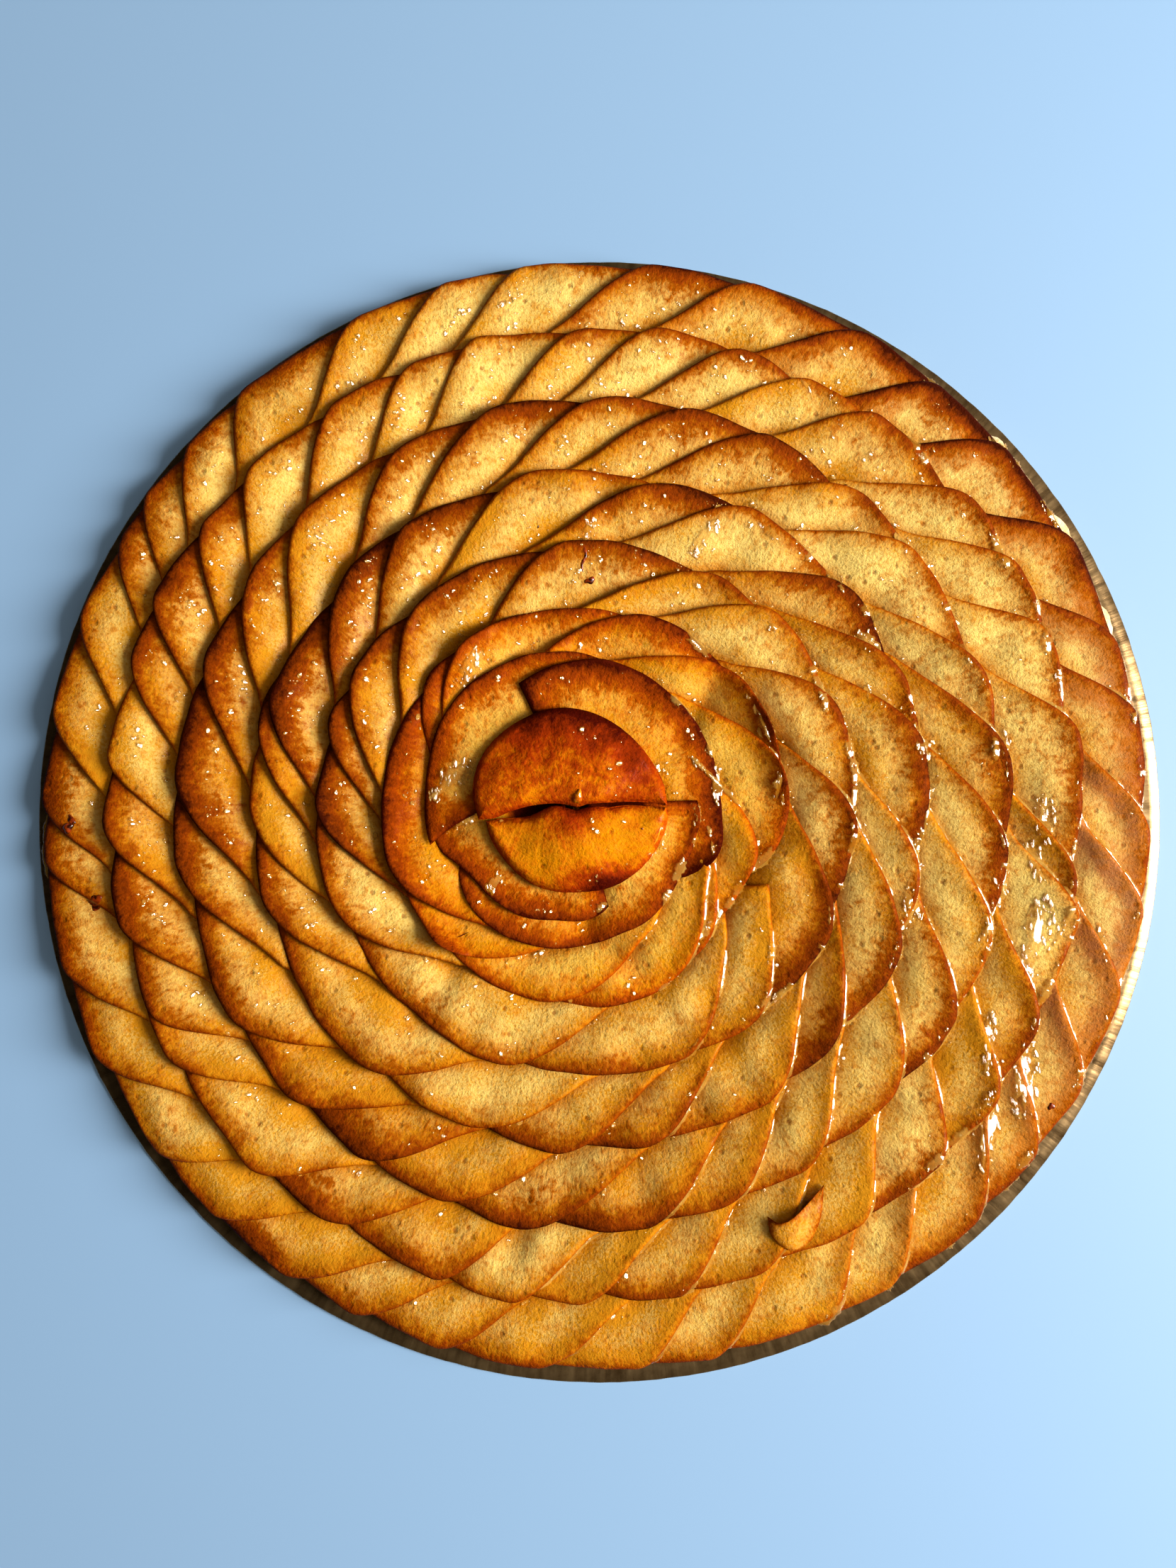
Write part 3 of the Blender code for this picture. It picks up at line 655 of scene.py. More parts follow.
def apple_material(name, pale, ripe, amber, golden, browned, burnt):
    """Baked apple under glaze: felted flesh, toasted along its raised edge, moist where the glaze lies."""
    made, tree, shader = new_material(name)
    spot = add_node(tree, "TexCoord").outputs["Object"]
    marks = {}
    for mark in ("grain", "toast", "tint", "rim", "hollow_juice_and_shade", "blush"):
        read = add_node(tree, "Attribute", {"attribute_name": mark})
        marks[mark] = read.outputs["Vector" if mark == "grain" else "Fac"]
    along = add_node(tree, "Mapping", {"Scale": FIBRE_SCALE}, {"Vector": marks["grain"]}).outputs[0]
    for mark, scale, detail, rough, place in (
        ("blotch", per_mm(13), 4, 0.55, spot),
        ("vein", per_mm(2.6), 3, 0.6, spot),
        ("felt", per_mm(1.3), 5, 0.7, spot),  # the real felt is finer, and is drawn as coarse as it shows
        ("speckle", per_mm(0.7), 3, 0.6, spot),
        ("moist", per_mm(5), 3, 0.5, spot),
        ("fibre", 1, 3, 0.6, along),
    ):
        settings = {"Scale": scale, "Detail": detail, "Roughness": rough}
        marks[mark] = add_node(tree, "TexNoise", settings, {"Vector": place}).outputs["Fac"]
    blister = add_node(tree, "TexVoronoi", {"Scale": per_mm(5)}, {"Vector": spot})
    marks["blister"] = blister.outputs["Distance"]
    browning = add_node(tree, "Math", {"operation": "SUBTRACT", 1: 1}, {0: marks["toast"]})
    marks["browning"] = browning.outputs[0]

    # Sums of marks: each sum's name, the mark it starts from, and the others with their shares.
    for total, first, *others in (
        # the tint holds random tone, painted light on one side and a painted highlight along the crown
        ("tone", "speckle", ("blotch", 0.75), ("felt", 0.3), ("tint", 0.3)),
        ("flush", "blush", ("vein", 0.5)),
        ("amount", "browning", *BROWNING),
    ):
        marks[total] = marks[first]
        for mark, share in others:
            links = {0: marks[mark], 2: marks[total]}
            added = add_node(tree, "Math", {"operation": "MULTIPLY_ADD", 1: share}, links)
            marks[total] = added.outputs[0]

    # Marks brought to a cover: its name, the mark, the values it runs between, and the cover at each.
    for cover, mark, low, high, least, most in (
        ("ripeness", "tone", 1, 1.5, 0, 1),
        ("veined", "vein", 0.53, 0.72, 0, 0.55),
        ("specked", "speckle", 0.55, 0.75, 0, 0.4),
        ("shaded", "hollow_juice_and_shade", 0.1, 0.9, 0, 0.65),
        ("flushed", "flush", 0.4, 1, 0, 0.8),
        ("blistered", "blister", 0.07, 0.14, 0.6, 0),
        ("dent", "blister", 0.08, 0.2, 0, 1),
        ("crusted", "amount", 0.04, 0.42, 0, 1),
        ("wet", "moist", 0.42, 0.62, 0, 0.35),
    ):
        settings = {"From Min": low, "From Max": high, "To Min": least, "To Max": most}
        marks[cover] = add_node(tree, "MapRange", settings, {"Value": marks[mark]}).outputs[0]

    ramp = add_node(tree, "ValToRGB", links={"Fac": marks["ripeness"]}, stops=((0, ripe), (1, pale)))
    colour = ramp.outputs["Color"]
    for cover, stain in (
        ("veined", amber),
        ("specked", golden),
        # the amber line, partly a painted glow of light through the thin edge
        ("rim", amber),
        # the hollows: juice stain and painted shade
        ("shaded", golden),
        ("flushed", FLUSH),
        ("blistered", browned),
    ):
        links = {0: marks[cover], 6: colour}
        colour = add_node(tree, "Mix", {"data_type": "RGBA", 7: linear(stain)}, links).outputs[2]
    stops = (0.2, golden), (1, burnt), (0.6, browned)
    ramp = add_node(tree, "ValToRGB", links={"Fac": marks["amount"]}, stops=stops)
    links = {0: marks["crusted"], 6: colour, 7: ramp.outputs["Color"]}
    colour = add_node(tree, "Mix", {"data_type": "RGBA"}, links).outputs[2]
    tree.links.new(colour, shader.inputs["Base Color"])

    # The felt, the fibres and the dents of the blisters stand in each other's relief.
    relief = {}
    for mark, strength, depth in (
        ("speckle", 0.8, 0.35),
        ("felt", 0.8, 0.7),
        ("fibre", 0.35, 0.6),
        ("dent", 0.6, 0.4),
    ):
        settings = {"Strength": strength, "Distance": depth * MM}
        bump = add_node(tree, "Bump", settings, {"Height": marks[mark], **relief})
        relief = {"Normal": bump.outputs[0]}
    tree.links.new(bump.outputs[0], shader.inputs["Normal"])
    ripple = add_node(tree, "Bump", {"Strength": 0.5, "Distance": 0.3 * MM}, {"Height": marks["felt"]})
    tree.links.new(ripple.outputs[0], shader.inputs["Coat Normal"])
    settings = {"operation": "SUBTRACT", 0: 0.75, "use_clamp": True}
    bare = add_node(tree, "Math", settings, {1: marks["toast"]}).outputs[0]
    coat = add_node(tree, "Math", {"operation": "MULTIPLY"}, {0: marks["wet"], 1: bare}).outputs[0]
    tree.links.new(coat, shader.inputs["Coat Weight"])
    shader.inputs["Roughness"].default_value = 0.62
    shader.inputs["Coat Roughness"].default_value = 0.16
    shader.inputs["Coat IOR"].default_value = 1.4
    shader.inputs["Specular IOR Level"].default_value = 0.02
    return made


# Baked apple: straw along the crown and amber towards the edge, where its juice has cooked in.
baked = apple_material("glazed_baked_apple", "f3d072", "cc8816", "cc7e06", "be6c04", "883600", "3a0d00")
lay_ring("apple_slices_1", 0, baked, "baked_apple", "apple_ring_1")
lay_ring("apple_slices_2", 1, baked, "baked_apple", "apple_ring_2")
lay_ring("apple_slices_3", 2, baked, "baked_apple", "apple_ring_3")
lay_ring("apple_slices_4", 3, baked, "baked_apple", *[f"apple_slice_4_{i + 1:02}" for i in range(20)])
lay_ring("apple_slices_5", 4, baked, "baked_apple", *[f"apple_slice_5_{i + 1:02}" for i in range(14)])
# Browned apple, nearer the middle of the heap and the oven's top heat: deeper and more orange.
browned = apple_material("glazed_browned_apple", "f4c456", "d88e0e", "e48802", "d27000", "983a00", "460d00")
lay_ring("apple_slices_6", 5, browned, "browned_apple", *[f"apple_slice_6_{i + 1:02}" for i in range(11)])
lay_ring("apple_slices_7", 6, browned, "browned_apple", *[f"apple_slice_7_{i + 1:02}" for i in range(4)])

# --- The two middle slices -------------------------------------------------------------------------
# Two half-moons close the rosette, flat sides together like lips, with a knob of glaze between them.
# They stood highest in the oven, so they are baked darkest, and their backs have all but burnt.
MIDDLE_UPPER = (
    ((-31, 1.5), (-32.3, 7), (-31.5, 14.5), (-27.3, 21.3), (-20.5, 26.5), (-12, 29.6), (-3, 28.8), (5, 24.8),
     (11.5, 18.5), (16, 11), (17.2, 5)),
    ((-31, 1.2), (-27, 1.6), (-22.5, 3.4), (-17.5, 4.8), (-12, 5.4), (-8.3, 5), (-5.8, 4.4), (-3, 5.2),
     (3, 5.6), (10, 5.7), (17, 4.8)),
)
MIDDLE_LOWER = (
    ((17, 4.2), (17.2, 1), (15, -5.3), (10.5, -11.1), (4, -15.6), (-3, -17.1), (-12, -17), (-19, -14.3),
     (-24.5, -9), (-28, -3.5), (-29.2, 0.9)),
    ((17, 4.3), (8, 4.9), (1.5, 4.5), (-2, 4.6), (-5.8, 3.8), (-8.3, 4.2), (-12, 4.8), (-16, 3),
     (-19.2, 1.9), (-25.5, 1.5), (-29.2, 0.8)),
)
MIDDLE_GRID = (60, 90)  # cells across and along
MIDDLE_THICK = 3
MIDDLE_DOME = 1.6  # how much higher a middle slice is within its edge
MIDDLE_STIFF = 4
LEAF_ROUND = 2.2  # how far in its edge is rounded
LEAF_SWELL = 0.2
LEAF_UNDER = 0.2
LEAF_TINT = 0.4


def outline_distance(x, y, outline):
    """How far inside an outline places are, and below nothing where they are outside it."""
    middle = outline.mean(0)
    out = outline - middle
    order = np.argsort(np.arctan2(out[:, 1], out[:, 0]))
    angles, radii = np.arctan2(out[:, 1], out[:, 0])[order], np.hypot(out[:, 0], out[:, 1])[order]
    limit = np.interp(np.arctan2(y - middle[1], x - middle[0]), angles, radii, period=2 * np.pi)
    inside = np.hypot(x - middle[0], y - middle[1]) < limit
    nearest = np.full(x.shape, 1e9)
    for east, north in outline:
        nearest = np.minimum(nearest, (x - east) ** 2 + (y - north) ** 2)
    return np.where(inside, 1, -1) * np.sqrt(nearest)


def lay_leaf(name, curves, template, thick, dome, stiff, dark, material, slot, *nodes, curl=0):
    """Mesh a slice between two curves that meet at its tips, laid on what is under it."""
    marks = read_points(template)
    share_in, upper = marks[:, 0], marks[:, 2] > -0.5
    share_along = (1 - np.cos(np.pi * marks[:, 1])) / 2
    back, front = (through(curve, share_along) for curve in curves)
    place = back + (front - back) * (share_in - 0.1 * np.sin(2 * np.pi * share_in))[:, None]
    x, y = place[:, 0], place[:, 1]
    sides = [through(curve, np.linspace(0, 1, 90)) for curve in curves]
    outline = np.concatenate([sides[0], sides[1][::-1]])
    centre = outline.mean(0)
    near = (np.abs(map_x - centre[0]) < 30) & (np.abs(map_y - centre[1]) < 30)
    inside = np.zeros(map_x.shape, bool)
    far = outline_distance(map_x[near], map_y[near], outline)
    inside[near] = far > 0
    support = drape(heights, inside, stiff)

    def lifted(distance):
        share = np.clip(distance / LEAF_ROUND, 0, 1)
        rounded = 0.2 + 0.8 * np.sqrt(1 - (1 - share) ** 2)
        return thick * rounded + dome * (1 - np.exp(-np.maximum(distance, 0) / 5))

    distance = np.maximum(outline_distance(x, y, outline), 0)
    curled = curl * (1 - share_in) ** 2 * np.sin(np.pi * share_along)
    swell = LEAF_SWELL * waves(x, y, 8, 500 + len(curves[0]))
    z = sample(support, x, y) + curled + np.where(upper, lifted(distance) + swell, LEAF_UNDER)
    mesh = repeated(name, template, 1)
    grain = np.stack([share_along * 50, distance, np.zeros_like(x)], 1)
    place = [np.stack([x, y, z], 1)]
    write_points(mesh, place, grain=[grain], toast=[dark(x, y, distance)], tint=[np.full_like(x, LEAF_TINT)])
    finish_piece(name, mesh, material, slot, *nodes)
    rise = heights.copy()
    rise[near] = np.where(far > 0, sample(support, map_x[near], map_y[near]) + lifted(far), rise[near])
    return np.maximum(heights, rise)


def upper_toast(x, y, distance):
    """The back slice is burnt along its back, brown at its edge and paler towards its western tip."""
    back = np.exp(-((np.hypot(x + 7, y - 6) - 23.5) ** 2) / 46)
    burnt = np.clip((x + 24) / 6, 0, 1) * np.clip((13 - x) / 8, 0, 1)
    pale = np.exp(-(((x + 20) / 7) ** 2 + ((y - 8) / 4) ** 2))
    return 0.42 + 0.5 * back * burnt + 0.25 * np.exp(-distance / 1.6) - 0.15 * pale


def lower_toast(x, y, distance):
    """The front slice is brown at its edge, its southern back and the lip where the two slices part."""
    patch = np.exp(-(((x - 1) / 8) ** 2 + ((y + 14.5) / 4.5) ** 2))
    lip = np.exp(-(((x + 6) / 6) ** 2 + ((y - 3) / 6) ** 2))
    return 0.14 + 0.7 * patch + 0.45 * np.exp(-distance / 1.8) + 0.45 * lip


# Toasted apple: amber flesh that goes through mahogany to nearly black where it stood highest.
toasted = apple_material("glazed_toasted_apple", "e8a018", "d68200", "dc7a00", "cc6000", "942c00", "440800")
half_moon = slab_template(*MIDDLE_GRID)
for name, curves, dark, node in (
    ("middle_slice_back", MIDDLE_UPPER, upper_toast, "middle_slice_upper"),
    ("middle_slice_front", MIDDLE_LOWER, lower_toast, "middle_slice_lower"),
):
    body = MIDDLE_THICK, MIDDLE_DOME, MIDDLE_STIFF
    heights = lay_leaf(name, curves, half_moon, *body, dark, toasted, "toasted_apple", node)

# --- The torn tip ----------------------------------------------------------------------------------
# Near the rim one slice has torn as it was laid. Its loose tip, as thin as paper, has dried and curled
# up in the oven and lies across its neighbour, held there by the glaze.
TORN_TIP = (
    ((43.4, -101.8), (46.9, -102.6), (53, -98.8), (58.2, -94)),
    ((43.4, -101.8), (44.6, -107), (50.4, -110.8), (55.4, -107.4), (57.6, -100.6), (58.2, -94)),
)
TORN_GRID = (24, 40)
TORN_THICK, TORN_DOME, TORN_STIFF = 1.4, 0.2, 2
TORN_CURL = 2.4  # how high its torn side stands
TORN_PALE, TORN_BROWN, TORN_BAND = 0.14, 0.4, 1.4  # how toasted it is, how much more at its edge, how far in


def torn_toast(x, y, distance):
    """The torn tip is brown along its edge only."""
    return TORN_PALE + TORN_BROWN * np.exp(-distance / TORN_BAND)


torn = slab_template(*TORN_GRID)
body = TORN_THICK, TORN_DOME, TORN_STIFF
heights = lay_leaf("torn_tip", TORN_TIP, torn, *body, torn_toast, baked, "baked_apple", curl=TORN_CURL)

# --- The glaze -------------------------------------------------------------------------------------
# Clear apple glaze, brushed on warm and set. It stands in small beads on the felted flesh, has run along
# the raised edges, and has gathered in pools where the slices step down.
BEADS = 2600
BEAD_RIM = 142  # how far out they stand
BEAD_SIDES, BEAD_LOOPS = 6, 4
BEAD_LONG = (0.24, 0.84)  # the least half length, and how much more there may be
BEAD_THICK = 0.09
BEAD_REACH = 0.35  # how far a bead's skin may stand off the flesh
BEAD_STEEP = 0.55  # how much steeper the flesh may fall than glaze lies, and still hold a bead
RUN_GRID = (4, 18)
RUN_POINTS = 30  # points along the path of a run
RUN_TRIES = 11
RUN_FACING, RUN_WEST = 0.6, -15  # runs show on edges that face east, and not further west than this
RUN_AHEAD, RUN_BEHIND = 0.7, 0.9  # how far from a slice's crest runs start, as shares of its two ends
RUN_BEADS = 4  # beads that stand beside each run
DRIP_WEST, DRIP_NORTH, DRIP_SOUTH = -147.4, 4, -15  # the drip that ran down to the pan
POOL_BEADS = 0.9  # beads that stand in and by a pool, for each square millimetre of its size
POOL_GRID = (16, 20)
# Where glaze has pooled: how far east and north, its length and width, and the heading of its length.
POOLS = (
    (110, -67, 15, 5, 85), (99, -82, 16, 4.5, 85), (113, -30, 16, 5, 78), (119, 3, 9, 3.5, 92),
    (27, 74, 8, 3, 50), (-38, 11, 10, 4, 42), (98, -56, 11, 2.4, 82), (103, -16, 8, 3.4, 82),
    (66, 48, 6, 4, 160), (78, -19, 7, 3.2, 126), (115, -8, 9, 3, 105), (-33, 40, 8, 3.4, 64),
    (30, 10, 7, 1.8, 90), (39, 24, 7, 2.6, 120), (-27, -15, 4.5, 2.2, 54), (-5, 77, 4, 2.2, 60),
    (128, -32, 6, 2, 98), (16, -4, 6, 1.3, 72), (83, 18, 6, 2.4, 117), (72, 36, 6, 2.2, 141),
    (78, 73, 5, 2.4, 132), (-31, 0, 6, 1.5, 30), (107, 21, 9, 1.6, 85),
)
POOL_SEARCH, POOL_STAY = 3.5, 0.04  # how far a pool settles towards a step, and how much nearer ones draw it
POOL_SHARE = 0.6  # how much of its length and width a pool fills
POOL_DEEP = 1.1
SKIN_FALL = (0.53, -0.00225, -0.0025)  # how steeply glaze falls east at the middle, and its change each way

level = softened(heights, 0.7)
fall_east = -np.gradient(softened(heights, 1.2), CELL, axis=0)


def sample_one(values, x, y):
    """The value of the map at one place."""
    return float(sample(values, np.array(x), np.array(y)))


def skin_fall(x, y):
    """How steeply the skin of set glaze falls to the east and to the north at a place."""
    return SKIN_FALL[0] + SKIN_FALL[1] * x, SKIN_FALL[2] * y


# Set apple glaze: a thin clear jelly with a wet skin, all but unseen except where it mirrors the window.
glaze, tree, shader = new_material("set_apple_glaze")
spot = add_node(tree, "TexCoord").outputs["Object"]
skin = add_node(tree, "TexNoise", {"Scale": per_mm(1.2), "Detail": 2}, {"Vector": spot}).outputs["Fac"]
relief = add_node(tree, "Bump", {"Strength": 0.3, "Distance": 0.25 * MM}, {"Height": skin})
tree.links.new(relief.outputs[0], shader.inputs["Normal"])
tree.links.new(relief.outputs[0], shader.inputs["Coat Normal"])
shade = add_node(tree, "TexNoise", {"Scale": per_mm(6), "Detail": 2}, {"Vector": spot}).outputs["Fac"]
ramp = add_node(tree, "ValToRGB", links={"Fac": shade}, stops=((0.35, "cf8a20"), (0.65, "e8b454")))
tree.links.new(ramp.outputs["Color"], shader.inputs["Base Color"])
shader.inputs["Alpha"].default_value = 0.3
shader.inputs["Roughness"].default_value = 0.08
shader.inputs["Specular IOR Level"].default_value = 1.0
shader.inputs["IOR"].default_value = 1.5
shader.inputs["Coat Weight"].default_value = 1.0
shader.inputs["Coat Roughness"].default_value = 0.06
shader.inputs["Coat IOR"].default_value = 1.8


def ball_template(name, sides, loops):
    """A closed ball of unit size."""
    shape = bmesh.new()
    bmesh.ops.create_uvsphere(shape, u_segments=sides, v_segments=loops, radius=1)
    mesh = bpy.data.meshes.new(name)
    shape.to_mesh(mesh)
    shape.free()
    return mesh


def turned_place(east, north, along, across, heading):
    """The place that is so far along and across a heading from another place."""
    cosine, sine = math.cos(heading), math.sin(heading)
    return east + along * cosine + across * sine, north + along * sine - across * cosine


def lay_copies(name, template, places, material, slot):
    """One piece of many copies of a template, each with points of its own."""
    mesh = repeated(name, template, len(places))
    write_points(mesh, places)
    finish_piece(name, mesh, material, slot)


bead_template = ball_template("bead", BEAD_SIDES, BEAD_LOOPS)
ball = read_points(bead_template)
beads = []


def add_bead(x, y, length, width, heading, tilt_east, tilt_north):
    """One flat bead of glaze, whose skin lies as set glaze lies there, and a little otherwise."""
    east, north = turned_place(0, 0, ball[:, 1] * length, ball[:, 0] * width, heading)
    lean_east, lean_north = skin_fall(x, y)
    skin = sample_one(level, x, y) - (lean_east + tilt_east) * east - (lean_north + tilt_north) * north
    flesh = sample(level, x + east, y + north)
    skin = np.clip(skin, flesh - BEAD_REACH, flesh + BEAD_REACH) + 0.06 + ball[:, 2] * BEAD_THICK
    beads.append(np.column_stack([x + east, y + north, skin]))


# Beads stand thickest in the shelter of the steps and towards the west and north, and on level flesh.
dice = np.random.default_rng(11)
while len(beads) < BEADS:
    away, heading, keep, long, narrow, spin, east_off, north_off = dice.random(8)
    x, y = tart_place(BEAD_RIM * math.sqrt(away), 2 * math.pi * heading)
    wet = -0.1 + 0.6 * float(waves(np.array(x), np.array(y), 9, 41, 8)) - 0.005 * x + 0.003 * y
    wet += 0.5 * min(max(sample_one(around, x, y) - sample_one(heights, x, y), 0), 1.4)
    if sample_one(fall_east, x, y) < skin_fall(x, y)[0] - BEAD_STEEP or keep > wet:
        continue
    length = BEAD_LONG[0] + BEAD_LONG[1] * long**4
    tilt = 0.3 * east_off - 0.15, 0.5 * north_off - 0.25
    add_bead(x, y, length, length * (0.5 + 0.4 * narrow), math.pi * spin, *tilt)

run_template = slab_template(*RUN_GRID)
run_marks = read_points(run_template)
run_across, run_along, run_upper = 2 * run_marks[:, 0] - 1, run_marks[:, 1], run_marks[:, 2] > -0.5
runs = []


def run_glaze(into, path_x, path_y, half_width, height, seed, lean=1):
    """A bead of glaze drawn out along a path on the slices."""
    share = np.linspace(0, 1, len(path_x))
    way = np.gradient(path_x), np.gradient(path_y)
    size = np.hypot(*way)
    x, y, across_x, across_y = (
        np.interp(run_along, share, values) for values in (path_x, path_y, way[1] / size, -way[0] / size)
    )
    taper = np.sin(np.pi * np.clip(run_along, 0.001, 0.999)) ** 0.5
    ragged = 1 + 0.35 * np.sin(run_along * 11 + seed) * np.sin(run_along * 27 + 2 * seed)
    width = half_width * taper * ragged
    east, north = run_across * width * across_x, run_across * width * across_y
    lean_east, lean_north = skin_fall(x, y)
    dome = np.sqrt(np.clip(1 - run_across**2, 0, 1)) * taper
    top = sample(level, x, y) + height * taper - 0.1 + 0.15 * dome
    top = top - lean * (lean_east * east + lean_north * north)
    bottom = np.maximum(np.minimum(sample(level, x + east, y + north), top) - 0.3, PAN_TOP / MM - 0.2)
    into.append(np.stack([x + east, y + north, np.where(run_upper, top, bottom)], 1))


for number, cuts in enumerate(ring_cuts):
    for cut in cuts:
        for _ in range(RUN_TRIES):
            at, long, wide, high, chance, seed = dice.random(6)
            turn = (cut["ahead"] * RUN_AHEAD + cut["pitch"] * RUN_BEHIND) * at - cut["pitch"] * RUN_BEHIND
            slanted = turn > 0.2 * cut["span"] and not cut["blunt"]
            length = 4 + 7 * long if slanted else 2.5 + 8 * long**2
            half = length / cut["radius"] / 2
            last = min(turn + half, cut["ahead"] * 0.85 + 0.01)
            turns = np.linspace(max(turn - half, -cut["pitch"]), last, RUN_POINTS)
            inset = -0.15 if slanted else 0.3 + 0.7 * wide
            x, y = tart_place(edge_radius(cut, turns) - inset, cut["crest"] + turns)
            facing = (y[-1] - y[0]) / math.hypot(x[-1] - x[0], y[-1] - y[0])
            shown = 0.35 + 0.8 * (facing - RUN_FACING) + 0.005 * x.mean() - 0.002 * y.mean()
            if facing < RUN_FACING or x.mean() < RUN_WEST or chance > shown:
                continue
            for _ in range(RUN_BEADS):
                share, off, long, spin, east_off, north_off = dice.random(6)
                place = int(share * (RUN_POINTS - 1))
                bead_x, bead_y = x[place] + 1.6 * (off - 0.7), y[place] + 0.6 * (spin - 0.5)
                length = 0.35 + 0.8 * long**2
                tilt = 0.2 * east_off - 0.1, 0.3 * north_off - 0.15
                add_bead(bead_x, bead_y, length, 0.45 * length, 1.2 + 0.8 * spin, *tilt)
            half_width = 0.62 if slanted else 0.5 + 0.9 * wide
            height = 0.35 if slanted else 0.3 + 0.2 * high
            run_glaze(runs, x, y, half_width, height, TURN * seed)
drip = np.full(RUN_POINTS, DRIP_WEST), np.linspace(DRIP_NORTH, DRIP_SOUTH, RUN_POINTS)
run_glaze(runs, *drip, 1, 1.8, 2, 0)
lay_copies("glaze_runs", run_template, runs, glaze, "baked_apple")

pool_template = slab_template(*POOL_GRID)
pool_marks = read_points(pool_template)
square_x, square_y = 2 * pool_marks[:, 0] - 1, 2 * pool_marks[:, 1] - 1
disc_x, disc_y = square_x * np.sqrt(1 - square_y**2 / 2), square_y * np.sqrt(1 - square_x**2 / 2)
bearing = np.arctan2(disc_y, disc_x)
shelter = np.sqrt(np.clip(1 - np.hypot(disc_x, disc_y) ** 4, 0, 1))
pools = []
for east, north, length, width, heading in POOLS:
    far = np.hypot(map_x - east, map_y - north)
    best = np.argmax(np.where(far < POOL_SEARCH, fall_east - POOL_STAY * far, -np.inf))
    east, north = map_x.flat[best], map_y.flat[best]
    ragged = 1 + 0.2 * np.sin(3 * bearing + east) + 0.14 * np.sin(5 * bearing + north)
    ragged = POOL_SHARE * (ragged + 0.1 * np.sin(9 * bearing))
    across, along = disc_x * width * ragged, disc_y * length * ragged
    turned = math.radians(heading)
    x, y = turned_place(east, north, along, across, turned)
    base = sample(level, x, y)
    lean_east, lean_north = skin_fall(x, y)
    spine = sample(level, east + along * math.cos(turned), north + along * math.sin(turned))
    plane = spine - (lean_east * math.sin(turned) - lean_north * math.cos(turned)) * across
    top = base + (np.clip(plane + 0.3 - base, -0.3, POOL_DEEP) + 0.1) * shelter - 0.1
    pools.append(np.stack([x, y, np.where(pool_marks[:, 2] > -0.5, top, base - 0.5)], 1))
    for _ in range(int(POOL_BEADS * length * width)):
        share, off, long, spin, east_off, north_off = dice.random(6)
        along = 0.7 * length * (2 * share - 1)
        across = 0.8 * width * (2 * off - 1) * math.sqrt(share * (1 - share)) * 2
        bead_length = 0.5 + 1.2 * long**2
        tilt = 0.1 * east_off - 0.05, 0.16 * north_off - 0.08
        place = turned_place(east, north, along, across, turned)
        add_bead(*place, bead_length, 0.45 * bead_length, 1.2 + 0.8 * spin, *tilt)
lay_copies("glaze_pools", pool_template, pools, glaze, "baked_apple")
lay_copies("glaze_beads", bead_template, beads, glaze, "baked_apple")

# --- The scorch marks ------------------------------------------------------------------------------
# Where juice boiled over it has burnt on as dark sugar: one bubble and one stain near the rim, specks,
# and the dark lips of a split across a browned slice.
SPLIT = ((-4.6, 74), (-4, 71), (-3.7, 69), (-4.7, 67), (-4.3, 64.4))
DROPS = (  # how far east and north, half its length, width and height, and its heading
    (-138.4, -1.2, 1.6, 1.2, 0.9, 60), (-137.6, 1, 1.3, 0.8, 0.4, 120), (-132, -20.6, 2.2, 1.7, 0.3, 70),
    (-2.6, 62.8, 1.4, 0.8, 0.5, 20), (10.6, -1, 0.3, 0.3, 0.2, 0), (-35.4, -28.6, 1.4, 0.14, 0.2, 25),
    (-16, 77, 0.4, 0.2, 0.15, 80), (64, 88, 0.35, 0.25, 0.15, 10), (118, -74, 1, 0.8, 0.3, 40),
    (-60, 68, 0.5, 0.3, 0.15, 30),
)
DROP_SIDES, DROP_LOOPS = 20, 12
KNOBS = ((-5.6, 6.9, 1.9, 1.2, 1, 85), (-5.9, 4.2, 1.1, 0.8, 0.7, 60), (14.6, -3, 2.4, 0.4, 0.3, 70))

# Burnt sugar: almost black where it is thick and red-brown where it is thin, with a glassy skin.
burnt, tree, shader = new_material("burnt_sugar")
spot = add_node(tree, "TexCoord").outputs["Object"]
patch = add_node(tree, "TexNoise", {"Scale": per_mm(1.2), "Detail": 3}, {"Vector": spot}).outputs["Fac"]
ramp = add_node(tree, "ValToRGB", links={"Fac": patch}, stops=((0.4, "2c0a02"), (0.62, "8e3206")))
tree.links.new(ramp.outputs["Color"], shader.inputs["Base Color"])
shader.inputs["Roughness"].default_value = 0.25

drop_template = ball_template("drop", DROP_SIDES, DROP_LOOPS)
round_drop = read_points(drop_template)
top_level = softened(heights, 0.5)


def drops_at(name, rows, material):
    """Domed drops that follow the slices they lie on."""
    places = []
    for east, north, long, wide, high, heading in rows:
        swing = np.arctan2(round_drop[:, 1], round_drop[:, 0])
        ragged = 1 + 0.18 * np.sin(3 * swing + east) + 0.1 * np.sin(5 * swing + north)
        along, across = round_drop[:, 0] * long * ragged, round_drop[:, 1] * wide * ragged
        x, y = turned_place(east, north, along, across, math.radians(heading))
        places.append(np.stack([x, y, sample(top_level, x, y) + round_drop[:, 2] * high], 1))
    lay_copies(name, drop_template, places, material, "toasted_apple")


drops_at("burnt_drops", DROPS, burnt)
split = through(SPLIT, np.linspace(0, 1, RUN_POINTS))
lips = []
run_glaze(lips, split[:, 0], split[:, 1], 0.4, 0.12, 1, 0)
lay_copies("split", run_template, lips, burnt, "toasted_apple")

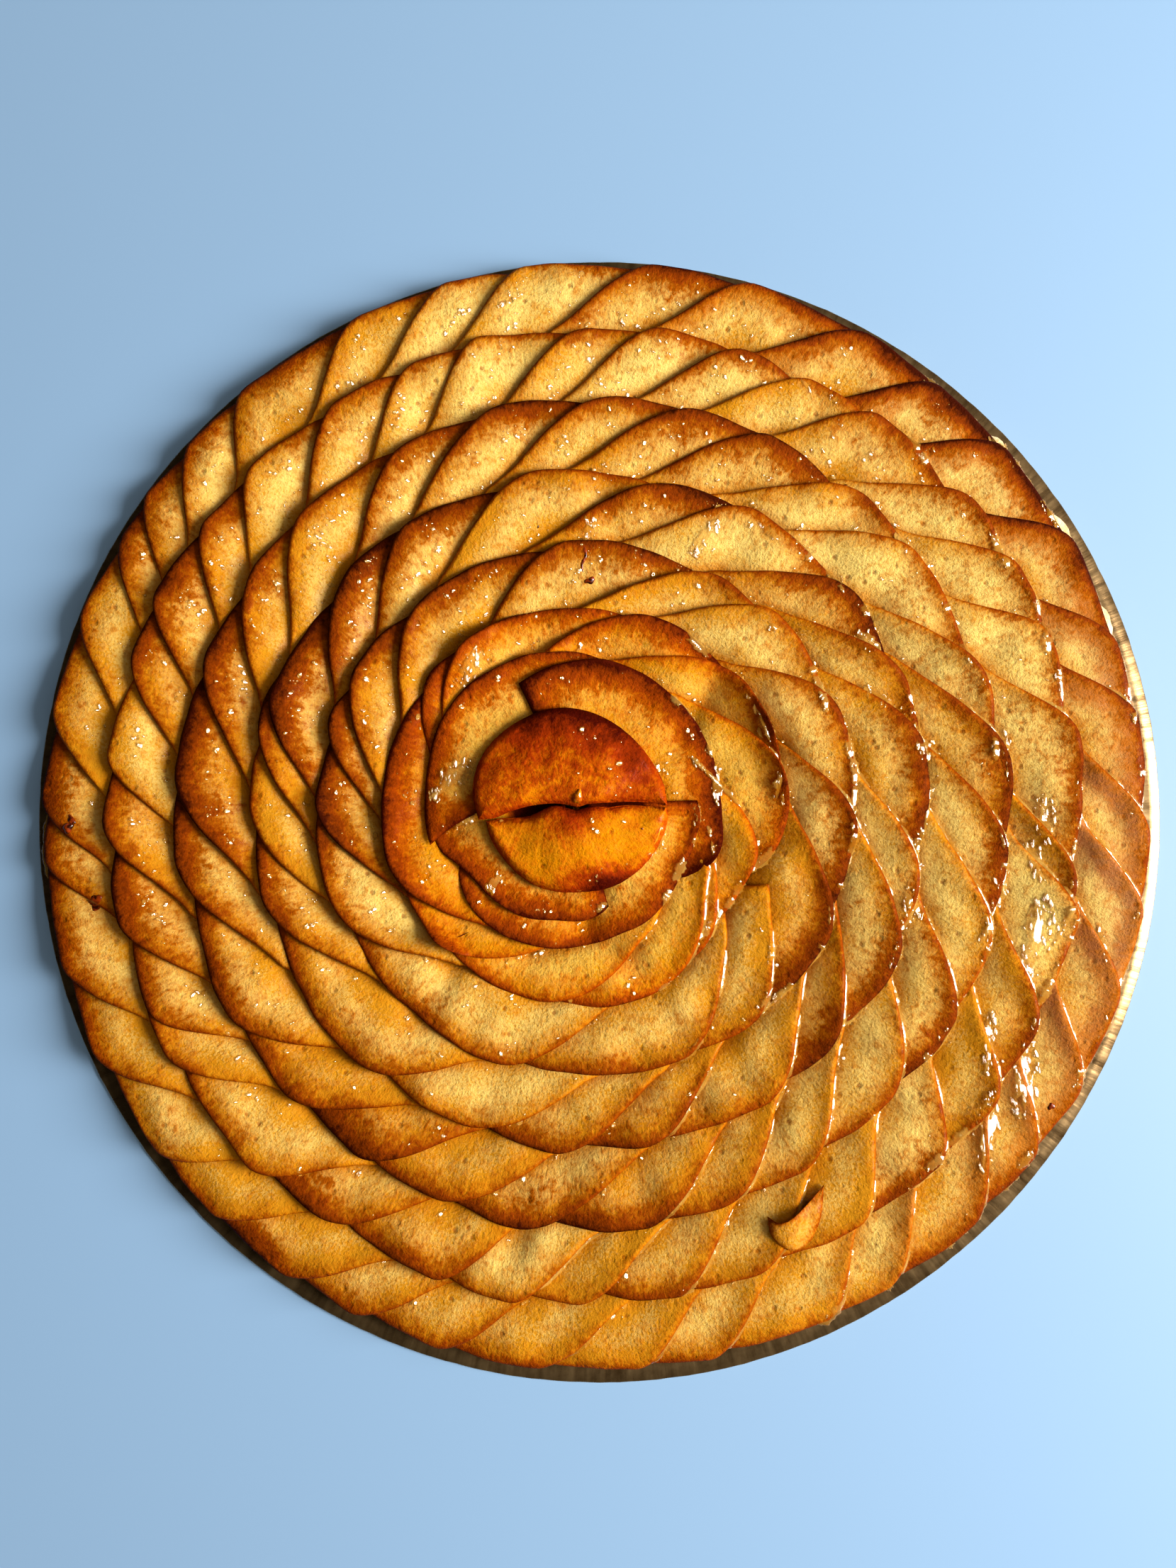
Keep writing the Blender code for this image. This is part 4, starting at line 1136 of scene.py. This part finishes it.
# Amber glaze that has set like toffee between the two middle slices: clear orange over a dark ground.
amber, tree, shader = new_material("amber_glaze")
spot = add_node(tree, "TexCoord").outputs["Object"]
patch = add_node(tree, "TexNoise", {"Scale": per_mm(2), "Detail": 3}, {"Vector": spot}).outputs["Fac"]
ramp = add_node(tree, "ValToRGB", links={"Fac": patch}, stops=((0.38, "a84402"), (0.62, "e88c14")))
tree.links.new(ramp.outputs["Color"], shader.inputs["Base Color"])
shader.inputs["Roughness"].default_value = 0.08
shader.inputs["IOR"].default_value = 1.5
shader.inputs["Coat Weight"].default_value = 1.0
drops_at("glaze_knob", KNOBS, amber)

# --- The table, the light and the camera -----------------------------------------------------------
# The tart is on a plain painted table, seen from straight above. Soft daylight comes low from a window
# at the right, and a little more falls back from the ceiling.
TABLE_HALF = 3  # in metres, as every size is from here on
WINDOW_PLACE, WINDOW_SIZE, WINDOW_POWER = (1.2, -0.1, 0.72), (0.5, 0.85), 49
CEILING_PLACE, CEILING_SIZE, CEILING_POWER = (0.55, 0.05, 1.3), (1.3, 1.3), 5.5
ROOM_GLOW = 0.07
CAMERA_PLACE = (-3.1 * MM, 10.3 * MM, 316 * MM)
CAMERA_LENS = 27.0

floor_shape = bmesh.new()
bmesh.ops.create_grid(floor_shape, x_segments=1, y_segments=1, size=TABLE_HALF)
floor_mesh = bpy.data.meshes.new("table")
floor_shape.to_mesh(floor_mesh)
floor_shape.free()
floor = bpy.data.objects.new("table", floor_mesh)
bpy.context.scene.collection.objects.link(floor)

# Pale matt paint: it throws a cool, even light back, and shows the soft shadow of the round.
paint, tree, shader = new_material("pale_painted_table")
shader.inputs["Base Color"].default_value = linear("8cb0d6")
shader.inputs["Roughness"].default_value = 0.6
floor_mesh.materials.append(paint)

world = bpy.data.worlds.new("soft_daylight")
world.use_nodes = True
world.node_tree.nodes["Background"].inputs["Color"].default_value = linear("efe6da")
world.node_tree.nodes["Background"].inputs["Strength"].default_value = ROOM_GLOW
bpy.context.scene.world = world


def soft_light(name, place, size, power, colour):
    """A rectangle of light that faces the tart."""
    light = bpy.data.lights.new(name, "AREA")
    light.shape = "RECTANGLE"
    light.size, light.size_y = size
    light.energy = power
    light.color = linear(colour)[:3]
    lamp = bpy.data.objects.new(name, light)
    bpy.context.scene.collection.objects.link(lamp)
    lamp.location = place
    lamp.rotation_euler = (-lamp.location).to_track_quat("-Z", "Y").to_euler()


soft_light("window", WINDOW_PLACE, WINDOW_SIZE, WINDOW_POWER, "fffaf2")
soft_light("ceiling", CEILING_PLACE, CEILING_SIZE, CEILING_POWER, "fbf3e4")
bpy.data.objects["ceiling"].visible_glossy = False
bpy.context.scene.world.cycles_visibility.glossy = False

camera_data = bpy.data.cameras.new("camera")
camera_data.lens = CAMERA_LENS
camera = bpy.data.objects.new("camera", camera_data)
bpy.context.scene.collection.objects.link(camera)
camera.location = CAMERA_PLACE
camera_data.clip_start = 0.01
bpy.context.scene.camera = camera
bpy.context.scene.view_settings.view_transform = "Standard"
